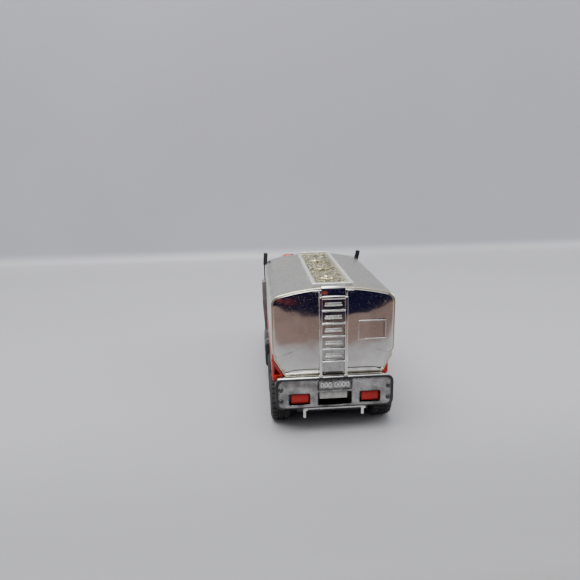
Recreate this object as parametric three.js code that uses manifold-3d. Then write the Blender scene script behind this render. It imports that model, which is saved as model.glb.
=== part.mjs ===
// Toy tanker truck: a bonneted cab, a plated tank on a red cradle, and three turning wheelsets.
// Millimetres, +Z up, +Y towards the bonnet. The origin is on the ground under the middle of the truck.
import * as THREE from "three";
import { mergeVertices } from "three/addons/utils/BufferGeometryUtils.js";
import Module from "manifold-3d";

const wasm = await Module();
wasm.setup();

// Driving dimensions.
const overallLength = 76;
const clearance = 0.15; // between pieces that rest on or sit inside one another

const wheelRadius = 6;
const wheelRoom = 2.8; // from the tops of the tyres to the underside of the tank
const tyreGap = 1.2; // from the tops of the tyres to the skirts
const tyreWidth = 5.2;
const wheelOuterX = 15.6;
const hubRadius = 3.6;
const axleRadius = 0.55;
const axleBore = 0.65; // radius of the saddle bores
const rearAxleRoom = 1; // from the tank's rear rim to the rear tyres
const tandemGap = 2; // between the tyres of the two rear axles

const tankWidth = 30;
const tankLength = 43.4; // from rim to rim, without the domed heads
const tankHeight = 22;
const tankCrownRadius = 52;
const tankShoulderRadius = 2.6;
const tankBevelWidth = 2.8; // how far the lower corners are cut back
const tankBevelHeight = 5;
const tankHeadDepth = 1.45;
const tankWall = 1.3;
const tankMouthEdge = 5; // width of the flanges beside the opening under the moulding
const tankRoofThickness = 2.4;
const placard = { width: 6.8, height: 4.9, fromSide: 2.5, fromTop: 8.15, lip: 0.3, proud: 0.12 };

const bumperWidth = 29;
const bumperHeight = 7.85;
const bumperWall = 1.1;
const bumperCornerRadius = 1.2;
const lampProud = 0.35;

const trayWidth = 10;
const trayEndInset = 0.95;
const trayRim = 0.9;
const trayFloor = 0.35;
const trayProud = 0.6; // of the tank's crown
const hatchRadius = 2.6;
const hatchHeight = 0.55;
const hatchCount = 3;
const hatchSpacing = 11.2;

const ladderWidth = 6.1; // between the middles of the rails
const ladderShift = -0.3; // the ladder sits a little to the left
const ladderGap = 0.3; // from the rails to the tank's head
const ladderSetBack = 0.1; // from the bumper's face to the rails
const ladderHeadHeight = 2.2; // of the curved head, below the tank's crown
const ladderTab = 1.8; // from the middle of a rail to the end of its tab
const railWidth = 0.65;
const railDepth = 0.65;
const rungHeight = 0.4;
const ladderPlate = 0.55; // thickness of the curved head
const rungCount = 5;
const lowestRung = 3.75; // above the bumper
const highestRung = 3.3; // below the curved head

const cradleWidth = tankWidth - 1.2;
const cradleShift = -0.65; // the cradle sits a little to the left
const cradleWall = 0.9;
const cradleDeck = 1.1;
const cradleInset = 0.6; // from the tank's rear rim to the end of the cradle's walls
const cradlePocketDepth = 1.6;

const basePlateRoom = 1.2; // from the tyres to the edges of the plate
const basePlateDrop = 1.8; // from the axles to the plate's underside
const basePlateThickness = 1;
const saddleLength = 4;
const saddleRise = 1.4; // above the axles
const frameRailWidth = 1.8;
const frameRailSpacing = 8.6; // between the middles of the chassis rails
const crossMemberCount = 6;
const rivetRadius = 1.3;
const rivetHeight = 0.45;
const rivetDrop = 0.08; // from the plate's underside up to the rivets' faces

const fairingThickness = 1.75;
const fairingTopZ = 27.4;

const cabGap = 1.6; // from the tank's front rim to the cab's back wall
const cabWidth = 28.8;
const cabLength = 12; // back wall to the foot of the windscreen
const cabWall = 0.9;
const doorRoom = 2.8; // from the axles up to the lower edge of the doors and wings
const beltZ = 24.2;
const roofZ = 35.2;
const roofWidth = 22.4;
const windscreenRake = 2.6;
const roofVent = { x: -7.6, fromBack: 4.5, radius: 1.5, height: 0.6 }; // a low dome on the roof's left side
const bonnetWidth = 17;
const bonnetTopZ = 23.4;
const wingTopZ = 18.6;
const archGap = 1; // from the front tyres to the wheel arches
const wingLip = 0.6; // left of the wings in front of the arches
const wingSetBack = 1.4; // from the bonnet's front to the wings'
const grilleDepth = 0.7;
const grilleWidth = 12.4;
const grilleZ = [14.4, 20.6];
const frontBumperDepth = 1.3;
const frontBumperHeight = 3;
const frontBumperWrap = 3.2; // how far its ends reach back
const headlampRadius = 1.7;

const mirrorWidth = 1.3;
const mirrorHeight = 3.9;
const mirrorDepth = 0.8;
const mirrorRise = 12.4; // from the belt to the tops of the mirrors
const mirrorInset = { left: 1.25, right: 1.65 }; // from the fairings' outer faces
const mirrorLean = { left: 4, right: 12 }; // degrees, both tops lean to +X

// Stations that follow from them.
const rearY = -overallLength / 2;
const frontY = overallLength / 2;
const bumperFaceY = rearY + lampProud;
const tankRearY = bumperFaceY + ladderSetBack + railDepth + ladderGap + tankHeadDepth;
const tankFrontY = tankRearY + tankLength;
const tankBottomZ = 2 * wheelRadius + wheelRoom;
const tankTopZ = tankBottomZ + tankHeight;
const tankMiddleZ = (tankBottomZ + tankTopZ) / 2;
const deckTopZ = tankBottomZ - clearance;
const bumperTopZ = deckTopZ;
const bumperBottomZ = bumperTopZ - bumperHeight;
const skirtBottomZ = 2 * wheelRadius + tyreGap;
const trayTopZ = tankTopZ + trayProud;
const bonnetFrontY = frontY - frontBumperDepth - grilleDepth;
const wingFrontY = bonnetFrontY - wingSetBack;
const archHalf = Math.sqrt((wheelRadius + archGap) ** 2 - doorRoom ** 2); // at the doors' lower edge
const axleY = {
  rear: tankRearY + rearAxleRoom + wheelRadius,
  middle: tankRearY + rearAxleRoom + 3 * wheelRadius + tandemGap,
  front: wingFrontY - wingLip - archHalf,
};
const cabFloorZ = wheelRadius + doorRoom;
const cabBackY = tankFrontY + cabGap;
const screenFootY = cabBackY + cabLength;
const tyreInnerX = wheelOuterX - tyreWidth;
const basePlateHalf = tyreInnerX - basePlateRoom;
const basePlateBottomZ = wheelRadius - basePlateDrop;
const saddleTopZ = wheelRadius + saddleRise;
const frameBottomZ = saddleTopZ + clearance;
const frameTopZ = deckTopZ - cradleDeck - clearance;
const bodyOuterX = cabWidth / 2 + clearance + fairingThickness;

// Finishes.
const finish = (color, roughness, metalness) => ({ color, roughness, metalness });
const plated = finish(0xc9c9c2, 0.16, 1);
const wornPlating = finish(0xa6a596, 0.38, 0.9);
const redPaint = finish(0xb3241c, 0.32, 0);
const blackPlastic = finish(0x17181a, 0.5, 0);
const greyPlastic = finish(0x6e6a67, 0.55, 0);
const tyreRubber = finish(0x141414, 0.8, 0);
const hubPlastic = finish(0xb8b8b4, 0.35, 0.7);
const axleSteel = finish(0x9a9a9a, 0.3, 1);
const redLens = finish(0xc8281c, 0.2, 0);
const clearPlastic = finish(0x9fb0b8, 0.1, 0);
const palePlastic = finish(0xb9b7aa, 0.45, 0);

// Geometry helpers.
const group = new THREE.Group();

function solid(geometry) {
  const bare = geometry.clone();
  for (const name of Object.keys(bare.attributes)) {
    if (name !== "position") bare.deleteAttribute(name);
  }
  const merged = mergeVertices(bare, 1e-4);
  const triVerts = new Uint32Array(merged.index.array);
  const vertProperties = new Float32Array(merged.attributes.position.array);
  return new wasm.Manifold(new wasm.Mesh({ numProp: 3, vertProperties, triVerts }));
}

function add(name, body, look) {
  const result = body.getMesh();
  const geometry = new THREE.BufferGeometry();
  geometry.setAttribute("position", new THREE.BufferAttribute(result.vertProperties, 3));
  geometry.setIndex(new THREE.BufferAttribute(result.triVerts, 1));
  geometry.computeVertexNormals();
  const mesh = new THREE.Mesh(geometry, new THREE.MeshStandardMaterial(look));
  mesh.name = name;
  group.add(mesh);
}

function box(x0, x1, y0, y1, z0, z1) {
  const geometry = new THREE.BoxGeometry(x1 - x0, y1 - y0, z1 - z0);
  geometry.translate((x0 + x1) / 2, (y0 + y1) / 2, (z0 + z1) / 2);
  return solid(geometry);
}

const extrusion = (shape, depth, curveSegments = 3) => new THREE.ExtrudeGeometry(shape, {
  depth,
  bevelEnabled: false,
  curveSegments,
});

// An outline in X and Z, extruded along Y.
function prismY(shape, y0, y1) {
  const geometry = extrusion(shape, y1 - y0);
  geometry.rotateX(Math.PI / 2);
  geometry.translate(0, y1, 0);
  return solid(geometry);
}

// An outline in Y and Z, extruded along X.
function prismX(shape, x0, x1, curveSegments = 3) {
  const geometry = extrusion(shape, x1 - x0, curveSegments);
  geometry.applyMatrix4(new THREE.Matrix4().set(0, 0, 1, 0, 1, 0, 0, 0, 0, 1, 0, 0, 0, 0, 0, 1));
  geometry.translate(x0, 0, 0);
  return solid(geometry);
}

// A closed outline through [x, y, radius] corners, each rounded by its own radius.
function roundedOutline(corners) {
  const shape = new THREE.Shape();
  corners.forEach(([x, y, radius = 0], i) => {
    const before = corners.at(i - 1);
    const after = corners[(i + 1) % corners.length];
    const lengthIn = Math.hypot(before[0] - x, before[1] - y);
    const lengthOut = Math.hypot(after[0] - x, after[1] - y);
    const cut = Math.min(radius, lengthIn / 2, lengthOut / 2);
    const start = [x + ((before[0] - x) * cut) / lengthIn, y + ((before[1] - y) * cut) / lengthIn];
    const end = [x + ((after[0] - x) * cut) / lengthOut, y + ((after[1] - y) * cut) / lengthOut];
    if (i === 0) shape.moveTo(...start);
    else shape.lineTo(...start);
    if (cut > 0) shape.quadraticCurveTo(x, y, ...end);
  });
  shape.closePath();
  return shape;
}

function rectangle(x0, x1, z0, z1, radius = 0) {
  return roundedOutline([[x0, z0, radius], [x1, z0, radius], [x1, z1, radius], [x0, z1, radius]]);
}

// A turned body on an axis along X, Y or Z, from [radius, position along the axis] points.
function turned(profile, segments, axis) {
  const points = profile.map(([radius, along]) => new THREE.Vector2(radius, along));
  const geometry = new THREE.LatheGeometry(points, segments, Math.PI / segments);
  if (axis === "x") geometry.rotateZ(-Math.PI / 2);
  if (axis === "z") geometry.rotateX(Math.PI / 2);
  return solid(geometry);
}

const moved = (body, x, y, z) => body.translate([x, y, z]);
const sides = [["left", -1], ["right", 1]];

// The mirror image of a body across the truck's middle plane, for the left side.
const onSide = (body, sign) => (sign < 0 ? body.mirror([1, 0, 0]) : body);

// Tank.
function tankOutline() {
  const half = tankWidth / 2;
  const foot = half - tankBevelWidth;
  const bevelTopZ = tankBottomZ + tankBevelHeight;
  const crownZ = tankTopZ - tankCrownRadius;
  const cornerX = half - tankShoulderRadius;
  const cornerZ = crownZ + Math.sqrt((tankCrownRadius - tankShoulderRadius) ** 2 - cornerX ** 2);
  const crownAngle = Math.atan2(cornerZ - crownZ, cornerX);
  const shape = new THREE.Shape();
  shape.moveTo(-foot, tankBottomZ);
  shape.lineTo(foot, tankBottomZ);
  shape.lineTo(half - 0.5, bevelTopZ - 0.9);
  shape.quadraticCurveTo(half, bevelTopZ, half, bevelTopZ + 1);
  shape.absarc(cornerX, cornerZ, tankShoulderRadius, 0, crownAngle);
  shape.absarc(0, crownZ, tankCrownRadius, crownAngle, Math.PI - crownAngle);
  shape.absarc(-cornerX, cornerZ, tankShoulderRadius, Math.PI - crownAngle, Math.PI);
  shape.lineTo(-half, bevelTopZ + 1);
  shape.quadraticCurveTo(-half, bevelTopZ, -half + 0.5, bevelTopZ - 0.9);
  shape.closePath();
  return shape;
}

// A body through scaled copies of one outline at stations along Y, closed to a point at both ends.
function loftAlongY(shape, middleZ, stations) {
  const outline = shape.getPoints(5).filter((p, i, all) => i === 0 || p.distanceTo(all[i - 1]) > 1e-3);
  if (outline.at(-1).distanceTo(outline[0]) < 1e-3) outline.pop();
  const positions = [];
  const indices = [];
  const count = outline.length;
  for (const [y, scale] of stations) {
    for (const p of outline) positions.push(p.x * scale, y, middleZ + (p.y - middleZ) * scale);
  }
  const ring = (j, i) => j * count + (i % count);
  for (let j = 0; j + 1 < stations.length; j += 1) {
    for (let i = 0; i < count; i += 1) {
      indices.push(ring(j, i), ring(j + 1, i), ring(j + 1, i + 1));
      indices.push(ring(j, i), ring(j + 1, i + 1), ring(j, i + 1));
    }
  }
  const rearTip = positions.length / 3;
  positions.push(0, stations[0][0], middleZ, 0, stations.at(-1)[0], middleZ);
  for (let i = 0; i < count; i += 1) {
    indices.push(rearTip, ring(0, i), ring(0, i + 1));
    indices.push(rearTip + 1, ring(stations.length - 1, i + 1), ring(stations.length - 1, i));
  }
  const geometry = new THREE.BufferGeometry();
  geometry.setAttribute("position", new THREE.Float32BufferAttribute(positions, 3));
  geometry.setIndex(indices);
  return solid(geometry);
}

function tankShell() {
  // [share of the section, share of the head's depth], from the rim to the middle of the head
  const head = [[1, 0], [0.985, 0.27], [0.955, 0.46], [0.88, 0.62], [0.68, 0.84], [0.4, 0.96], [0.12, 1]];
  const rear = head.map(([scale, depth]) => [tankRearY - depth * tankHeadDepth, scale]).reverse();
  const front = head.map(([scale, depth]) => [tankFrontY + depth * tankHeadDepth, scale]);
  const outer = loftAlongY(tankOutline(), tankMiddleZ, [...rear, ...front]);
  const shrink = 1 - (2 * tankWall) / tankWidth;
  const inside = loftAlongY(tankOutline(), tankMiddleZ, [
    [tankRearY + tankWall, shrink],
    [tankFrontY - tankWall, shrink],
  ]);
  const below = box(-tankWidth, tankWidth, tankRearY, tankFrontY, 0, tankTopZ - tankRoofThickness);
  const mouthHalf = tankWidth / 2 - tankMouthEdge;
  const [mouthY0, mouthY1] = [tankRearY + tankWall, tankFrontY - tankWall];
  const mouth = box(-mouthHalf, mouthHalf, mouthY0, mouthY1, tankBottomZ - 1, tankMiddleZ);
  const fit = trayWidth / 2 + clearance;
  const trough = box(-fit, fit, tankRearY + trayEndInset - clearance, tankFrontY - trayEndInset + clearance,
    trayTopZ - trayFloor - trayRim - clearance, tankTopZ + 1);
  return outer.subtract(inside.intersect(below)).subtract(mouth).subtract(trough).add(placardFrame());
}

// A thin raised frame moulded on the rear head, beside the ladder.
function placardFrame() {
  const { lip } = placard;
  const x1 = tankWidth / 2 - placard.fromSide;
  const x0 = x1 - placard.width;
  const z1 = tankTopZ - placard.fromTop;
  const z0 = z1 - placard.height;
  const proudY = tankRearY - tankHeadDepth - placard.proud;
  const rootY = tankRearY - tankHeadDepth * 0.3;
  const frame = prismY(rectangle(x0, x1, z0, z1, 0.3), proudY, rootY);
  const hole = prismY(rectangle(x0 + lip, x1 - lip, z0 + lip, z1 - lip, 0.15), proudY - 1, rootY + 1);
  return frame.subtract(hole);
}

function walkwayTray() {
  const half = trayWidth / 2;
  const y0 = tankRearY + trayEndInset;
  const y1 = tankFrontY - trayEndInset;
  const outer = box(-half, half, y0, y1, trayTopZ - trayRim - trayFloor, trayTopZ);
  const innerHalf = half - trayRim;
  const hollow = box(-innerHalf, innerHalf, y0 + trayRim, y1 - trayRim, trayTopZ - trayRim, trayTopZ + 1);
  return outer.subtract(hollow);
}

function hatch(index) {
  const y = (tankRearY + tankFrontY) / 2 + (index - (hatchCount - 1) / 2) * hatchSpacing;
  const low = trayTopZ - trayRim;
  const lid = turned([
    [0, 0],
    [hatchRadius, 0],
    [hatchRadius, hatchHeight * 0.6],
    [hatchRadius - 0.3, hatchHeight],
    [hatchRadius - 0.7, hatchHeight],
    [hatchRadius - 0.9, hatchHeight * 0.7],
    [0.8, hatchHeight * 0.7],
    [0.6, hatchHeight + 0.15],
    [0, hatchHeight + 0.2],
  ], 20, "z");
  const strap = box(-0.4, 0.4, -hatchRadius - 0.5, -hatchRadius + 0.6, 0, hatchHeight);
  return moved(lid.add(strap), 0, y, low);
}

function rearLadder() {
  const y0 = bumperFaceY + ladderSetBack;
  const y1 = y0 + railDepth;
  const footZ = bumperTopZ + clearance;
  const bendZ = tankTopZ - ladderHeadHeight;
  const reachY = tankRearY + trayEndInset - clearance;
  const topZ = trayTopZ;
  const thick = ladderPlate;
  const innerHalf = ladderWidth / 2 - railWidth / 2;
  // side view of the head: a leaning plate that bends over the tank's rim to the tray
  const bend = new THREE.Shape();
  bend.moveTo(y0, bendZ);
  bend.lineTo(y0 + 0.45, topZ - 0.75);
  bend.quadraticCurveTo(y0 + 0.6, topZ, y0 + 1.5, topZ);
  bend.lineTo(reachY, topZ);
  bend.lineTo(reachY, topZ - thick);
  bend.lineTo(y0 + 1.6, topZ - thick);
  bend.quadraticCurveTo(y0 + 0.6 + thick, topZ - thick, y0 + 0.45 + thick, topZ - thick - 0.75);
  bend.lineTo(y0 + thick, bendZ);
  bend.closePath();
  let ladder = prismX(bend, -innerHalf - railWidth, innerHalf + railWidth);
  for (const [, sign] of sides) {
    const middle = (sign * ladderWidth) / 2;
    ladder = ladder.add(box(middle - railWidth / 2, middle + railWidth / 2, y0, y1, footZ, bendZ + 0.01));
    const [x0, x1] = [middle, middle + sign * ladderTab].sort((a, b) => a - b);
    ladder = ladder.add(box(x0, x1, y0 + 0.35, y0 + 1.1, topZ - 1.25, topZ - 0.85));
  }
  const lowZ = bumperTopZ + lowestRung;
  const rungSpacing = (bendZ - highestRung - lowZ) / (rungCount - 1);
  for (let i = 0; i < rungCount; i += 1) {
    const z = lowZ + i * rungSpacing;
    ladder = ladder.add(box(-innerHalf - 0.1, innerHalf + 0.1, y0 + 0.05, y1 - 0.1, z, z + rungHeight));
  }
  return moved(ladder, ladderShift, 0, 0).subtract(tankRimRelief());
}

// The room that the ladder's head leaves round the tank's rim.
function tankRimRelief() {
  const grow = 1 + (2 * clearance) / tankWidth;
  return loftAlongY(tankOutline(), tankMiddleZ, [
    [tankRearY - tankHeadDepth - clearance, 0.9],
    [tankRearY - 0.6 * tankHeadDepth - clearance, 0.975],
    [tankRearY - 0.2 * tankHeadDepth - clearance, grow],
    [tankFrontY, grow],
  ]);
}

// Cradle and chassis.
function tankCradle() {
  const y0 = tankRearY + cradleInset;
  const y1 = tankFrontY + 0.3;
  const slope = tankBevelWidth / tankBevelHeight;
  const innerFoot = tankWidth / 2 - tankBevelWidth + clearance * 1.6;
  const underZ = deckTopZ - cradleDeck;
  // one wall's corners, from the skirt's inner edge over the top to the deck
  const wall = (sign) => {
    const half = cradleWidth / 2 + sign * cradleShift;
    const peakZ = deckTopZ + (half - innerFoot) / slope;
    return [
      [sign * (half - cradleWall), underZ],
      [sign * (half - cradleWall), skirtBottomZ, 0.1],
      [sign * half, skirtBottomZ, 0.1],
      [sign * half, peakZ - 0.2, 0.2],
      [sign * (half - 0.2), peakZ - 0.1, 0.1],
      [sign * innerFoot, deckTopZ],
    ];
  };
  let cradle = prismY(roundedOutline([...wall(1), ...wall(-1).reverse()]), y0, y1);
  for (const [, sign] of sides) {
    const pocketX = cradleWidth / 2 + sign * cradleShift - cradleWall * 0.6;
    const pocketFootX = innerFoot + cradleWall * 0.4;
    const pocketFootZ = deckTopZ - cradleDeck * 0.3;
    const pocket = roundedOutline([
      [sign * pocketX, pocketFootZ, 0.1],
      [sign * pocketX, pocketFootZ + (pocketX - pocketFootX) / slope, 0.1],
      [sign * pocketFootX, pocketFootZ, 0.1],
    ]);
    cradle = cradle.subtract(prismY(pocket, y0 - 1, y0 + cradlePocketDepth));
  }
  const [left, right] = [cradleShift - cradleWidth / 2, cradleShift + cradleWidth / 2];
  return cradle.add(box(left, right, tankRearY + 0.2, y0 + 0.5, underZ, deckTopZ));
}

function chassisFrame() {
  const y0 = bumperFaceY + bumperWall + 1.2;
  const y1 = bonnetFrontY - cabWall - 1;
  const rearHornZ = centreWindow.z1 + 0.3; // above the bumper's middle window
  const frontHornZ = cabFloorZ - clearance;
  let frame = null;
  for (const [, sign] of sides) {
    const middle = (sign * frameRailSpacing) / 2;
    const [x0, x1] = [middle - frameRailWidth / 2, middle + frameRailWidth / 2];
    const rail = box(x0, x1, y0, y1, frameBottomZ, frameTopZ);
    const rearHorn = box(x0, x1, bumperFaceY + bumperWall + clearance, y0 + 1, rearHornZ, frameTopZ);
    const frontHorn = box(x0, x1, y1 - 1, frontY - frontBumperDepth - clearance, frameBottomZ, frontHornZ);
    frame = frame ? frame.add(rail) : rail;
    frame = frame.add(rearHorn).add(frontHorn);
  }
  const crossHalf = frameRailSpacing / 2;
  for (let i = 0; i < crossMemberCount; i += 1) {
    const y = y0 + 2 + ((y1 - y0 - 4) * i) / (crossMemberCount - 1);
    frame = frame.add(box(-crossHalf, crossHalf, y - 0.8, y + 0.8, frameBottomZ + 0.6, frameTopZ - 0.6));
  }
  return frame;
}

function basePlate() {
  const half = basePlateHalf;
  const y0 = bumperFaceY + bumperWall + 2.4;
  const y1 = bonnetFrontY - cabWall - 1.4;
  const outline = roundedOutline([[-half, y0, 1], [half, y0, 1], [half, y1, 1], [-half, y1, 1]]);
  const geometry = extrusion(outline, basePlateThickness);
  geometry.translate(0, 0, basePlateBottomZ);
  let plate = solid(geometry);
  for (const y of Object.values(axleY)) {
    const [back, front] = [y - saddleLength / 2, y + saddleLength / 2];
    plate = plate.add(box(-half + 0.3, half - 0.3, back, front, basePlateBottomZ, saddleTopZ));
  }
  for (const y of Object.values(axleY)) {
    plate = plate.subtract(moved(turned([
      [0, -half - 1],
      [axleBore, -half - 1],
      [axleBore, half + 1],
      [0, half + 1],
    ], 12, "x"), 0, y, wheelRadius));
  }
  for (const y of rivetStations()) plate = plate.subtract(moved(rivetSeat(), 0, y, basePlateBottomZ));
  return plate;
}

const rivetStations = () => [(axleY.rear + axleY.middle) / 2, axleY.front - saddleLength - 1];

function rivetSeat() {
  const radius = rivetRadius + clearance;
  return turned([[0, -1], [radius, -1], [radius, rivetHeight + clearance], [0, rivetHeight + clearance]], 16, "z");
}

function rivet(y) {
  const low = rivetDrop;
  const body = turned([
    [0, low],
    [rivetRadius * 0.7, low],
    [rivetRadius, low + 0.2],
    [rivetRadius, rivetHeight],
    [0, rivetHeight],
  ], 16, "z");
  return moved(body, 0, y, basePlateBottomZ);
}

// Rear end.
const lampWindow = { x0: 6.1, x1: 11.2, z0: bumperBottomZ + 1.05, z1: bumperBottomZ + 4 };
const centreWindow = { x0: -4.15, x1: 4.15, z0: bumperBottomZ + 0.75, z1: bumperBottomZ + 4.2 };
const plateSeat = { x0: -4.15, x1: 4.15, z0: bumperTopZ - 3.1, z1: bumperTopZ - 0.55 };
const lampEdge = 1.3; // from the bumper's ends to the middles of the corner lamps
const cornerLamp = {
  x: bumperWidth / 2 - lampEdge,
  z: [bumperBottomZ + 2.2, bumperBottomZ + 5.25],
  radius: 0.68,
};
const lensShift = 0.17; // both lenses sit a little to the right in their windows
const lensGap = 0.33;

function rearBumper() {
  const half = bumperWidth / 2;
  const face = bumperFaceY;
  const back = tankRearY - 0.4;
  const outline = rectangle(-half, half, bumperBottomZ, bumperTopZ, bumperCornerRadius);
  const innerHalf = half - bumperWall;
  const inner = rectangle(-innerHalf, innerHalf, bumperBottomZ - 3, bumperTopZ - bumperWall, 0.6);
  let bumper = prismY(outline, face, back).subtract(prismY(inner, face + bumperWall, back + 1));
  for (const [, sign] of sides) {
    const { x0, x1, z0, z1 } = lampWindow;
    const [low, high] = sign < 0 ? [-x1, -x0] : [x0, x1];
    bumper = bumper.subtract(prismY(rectangle(low, high, z0, z1, 0.25), face - 1, face + bumperWall + 0.5));
    for (const z of cornerLamp.z) bumper = bumper.subtract(moved(lampSeat(), sign * cornerLamp.x, face, z));
  }
  const { x0, x1, z0, z1 } = centreWindow;
  bumper = bumper.subtract(prismY(rectangle(x0, x1, z0, z1, 0.3), face - 1, face + bumperWall + 0.5));
  const seat = rectangle(plateSeat.x0, plateSeat.x1, plateSeat.z0, plateSeat.z1, 0.2);
  return bumper.subtract(prismY(seat, face - 1, face + 0.3));
}

function lampSeat() {
  const radius = cornerLamp.radius + 0.06;
  return turned([[0, -1], [radius, -1], [radius, 0.4], [0, 0.4]], 12, "y");
}

function cornerLampBody(sign, z) {
  const r = cornerLamp.radius;
  const dome = turned([
    [0, -lampProud],
    [r * 0.5, -lampProud * 0.8],
    [r * 0.85, -lampProud * 0.4],
    [r, 0],
    [r, 0.35],
    [0, 0.35],
  ], 12, "y");
  return moved(dome, sign * cornerLamp.x, bumperFaceY, z);
}

function numberPlate() {
  const gap = 0.12;
  const { x0, x1, z0, z1 } = plateSeat;
  const outline = rectangle(x0 + gap, x1 - gap, z0 + gap, z1 - gap, 0.15);
  return prismY(outline, bumperFaceY + 0.02, bumperFaceY + 0.25);
}

function tailLamp(sign) {
  const { x0, x1, z0, z1 } = lampWindow;
  const [low, high] = sign < 0 ? [-x1, -x0] : [x0, x1];
  const outline = rectangle(low + lensGap + lensShift, high - lensGap + lensShift, z0 + 0.3, z1 - 0.25, 0.2);
  return prismY(outline, bumperFaceY + 0.45, bumperFaceY + bumperWall + 1.1);
}

const tongue = { x0: -3.7, x1: 3.1, height: 1.7, fromTop: 0.25 };

// The moulded tongue that hooks the tank's floor, seen in the bumper's middle window.
function latchTongue() {
  const z1 = centreWindow.z1 - tongue.fromTop;
  const outline = rectangle(tongue.x0, tongue.x1, z1 - tongue.height, z1, 0.15);
  return prismY(outline, bumperFaceY + 0.5, bumperFaceY + bumperWall + 1.1);
}

const underrun = { depth: 0.7, thickness: 0.42, x0: -7.6, x1: 7.4, pegs: [[-7.4, 2.6], [7, 2.3]] }; // pegs: [x, length]

function underrunBar() {
  const y0 = bumperFaceY + 0.5;
  const y1 = y0 + underrun.depth;
  const top = bumperBottomZ - clearance;
  let bar = box(underrun.x0, underrun.x1, y0, y1, top - underrun.thickness, top);
  for (const [x, reach] of underrun.pegs) {
    bar = bar.add(box(x - 0.32, x + 0.32, y0, y1, top - reach, top - 0.1));
    bar = bar.add(box(x - 0.32, x + 0.75, y0, y1, top - 0.75, top - 0.1));
  }
  return bar;
}

// Running gear.
function tyre(sign, y) {
  const segments = 24;
  const outer = wheelRadius / Math.cos(Math.PI / segments);
  const inner = hubRadius + 0.12;
  const half = tyreWidth / 2;
  const ring = turned([
    [inner, -half],
    [outer - 0.8, -half],
    [outer, -half + 0.8],
    [outer, half - 0.8],
    [outer - 0.8, half],
    [inner, half],
    [inner, -half],
  ], segments, "x");
  return moved(ring, sign * (wheelOuterX - half), y, wheelRadius);
}

function hub(sign, y) {
  const half = tyreWidth / 2;
  const bore = axleRadius + 0.04;
  const dish = 0.8;
  const body = turned([
    [bore, -half + 0.5],
    [hubRadius, -half + 0.5],
    [hubRadius, half - 0.2],
    [hubRadius - 0.6, half - dish],
    [1.7, half - dish - 0.35],
    [1.35, half - 0.3],
    [bore, half - 0.3],
    [bore, -half + 0.5],
  ], 20, "x");
  return moved(onSide(body, sign), sign * (wheelOuterX - half), y, wheelRadius);
}

function axle(y) {
  const end = wheelOuterX - 0.35;
  const rod = turned([
    [0, -end],
    [axleRadius - 0.12, -end],
    [axleRadius, -end + 0.15],
    [axleRadius, end - 0.15],
    [axleRadius - 0.12, end],
    [0, end],
  ], 12, "x");
  return moved(rod, 0, y, wheelRadius);
}

function sideTank(sign) {
  const y0 = axleY.middle + wheelRadius + 1.6;
  const y1 = tankFrontY - 0.6;
  const x0 = basePlateHalf + 0.5;
  const outline = rectangle(x0, bodyOuterX - 0.1, basePlateBottomZ + 0.4, skirtBottomZ - 0.5, 1.6);
  return onSide(prismY(outline, y0, y1), sign);
}

// Cab.
// Side view of the whole bonneted body, with the inset of its walls.
function cabProfile(inset) {
  return roundedOutline([
    [cabBackY + inset, cabFloorZ - (inset ? 2 : 0)],
    [bonnetFrontY - inset, cabFloorZ - (inset ? 2 : 0)],
    [bonnetFrontY - inset, bonnetTopZ - 1.6 - inset, 1.6],
    [bonnetFrontY - 2.5 - inset, bonnetTopZ - inset, 2],
    [screenFootY - inset * 0.5, beltZ - inset, 0.4],
    [screenFootY - windscreenRake - inset, roofZ - 0.9 - inset, 1.8],
    [cabBackY + inset, roofZ - inset, 1.4],
  ]);
}

// Front view of the cab, narrower above the belt, with a domed roof.
function cabSection(inset) {
  const half = cabWidth / 2 - inset;
  const roofHalf = roofWidth / 2 - inset;
  const beltHalf = half - 1.1;
  const top = roofZ - inset;
  const low = cabFloorZ - (inset ? 2 : 0);
  const shape = new THREE.Shape();
  shape.moveTo(-half, low);
  shape.lineTo(half, low);
  shape.lineTo(half, beltZ - 1);
  shape.quadraticCurveTo(half, beltZ, beltHalf, beltZ);
  shape.lineTo(roofHalf, top - 3.4);
  shape.quadraticCurveTo(roofHalf - 0.6, top - 0.9, roofHalf - 4.4, top - 0.4);
  shape.quadraticCurveTo(0, top + 0.35, -roofHalf + 4.4, top - 0.4);
  shape.quadraticCurveTo(-roofHalf + 0.6, top - 0.9, -roofHalf, top - 3.4);
  shape.lineTo(-beltHalf, beltZ);
  shape.quadraticCurveTo(-half, beltZ, -half, beltZ - 1);
  shape.closePath();
  return shape;
}

// The body's volume: the cabin, the bonnet and the wings, shrunk by an inset.
function cabVolume(inset) {
  const half = cabWidth / 2 - inset;
  const low = cabFloorZ - (inset ? 2 : 0);
  const side = prismX(cabProfile(inset), -cabWidth, cabWidth);
  const cabin = prismY(cabSection(inset), cabBackY + inset, screenFootY + 0.4 - inset);
  const bonnetHalf = bonnetWidth / 2 - inset;
  const bonnetShape = roundedOutline([
    [-bonnetHalf, low],
    [bonnetHalf, low],
    [bonnetHalf - 0.5, bonnetTopZ - inset, 2.4],
    [-bonnetHalf + 0.5, bonnetTopZ - inset, 2.4],
  ]);
  const bonnet = prismY(bonnetShape, screenFootY - 2, frontY);
  const wingShape = roundedOutline([
    [-half, low],
    [half, low],
    [half, wingTopZ - inset, 1.5],
    [-half, wingTopZ - inset, 1.5],
  ]);
  const wings = prismY(wingShape, screenFootY - 2, wingFrontY - inset);
  return cabin.add(bonnet).add(wings).intersect(side);
}

const archOutline = (radius) => {
  const shape = new THREE.Shape();
  shape.absarc(axleY.front, wheelRadius, radius, 0, Math.PI * 2);
  return shape;
};

const windowSill = beltZ + 0.9;
const windowHeadZ = roofZ - 4.1;

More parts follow.
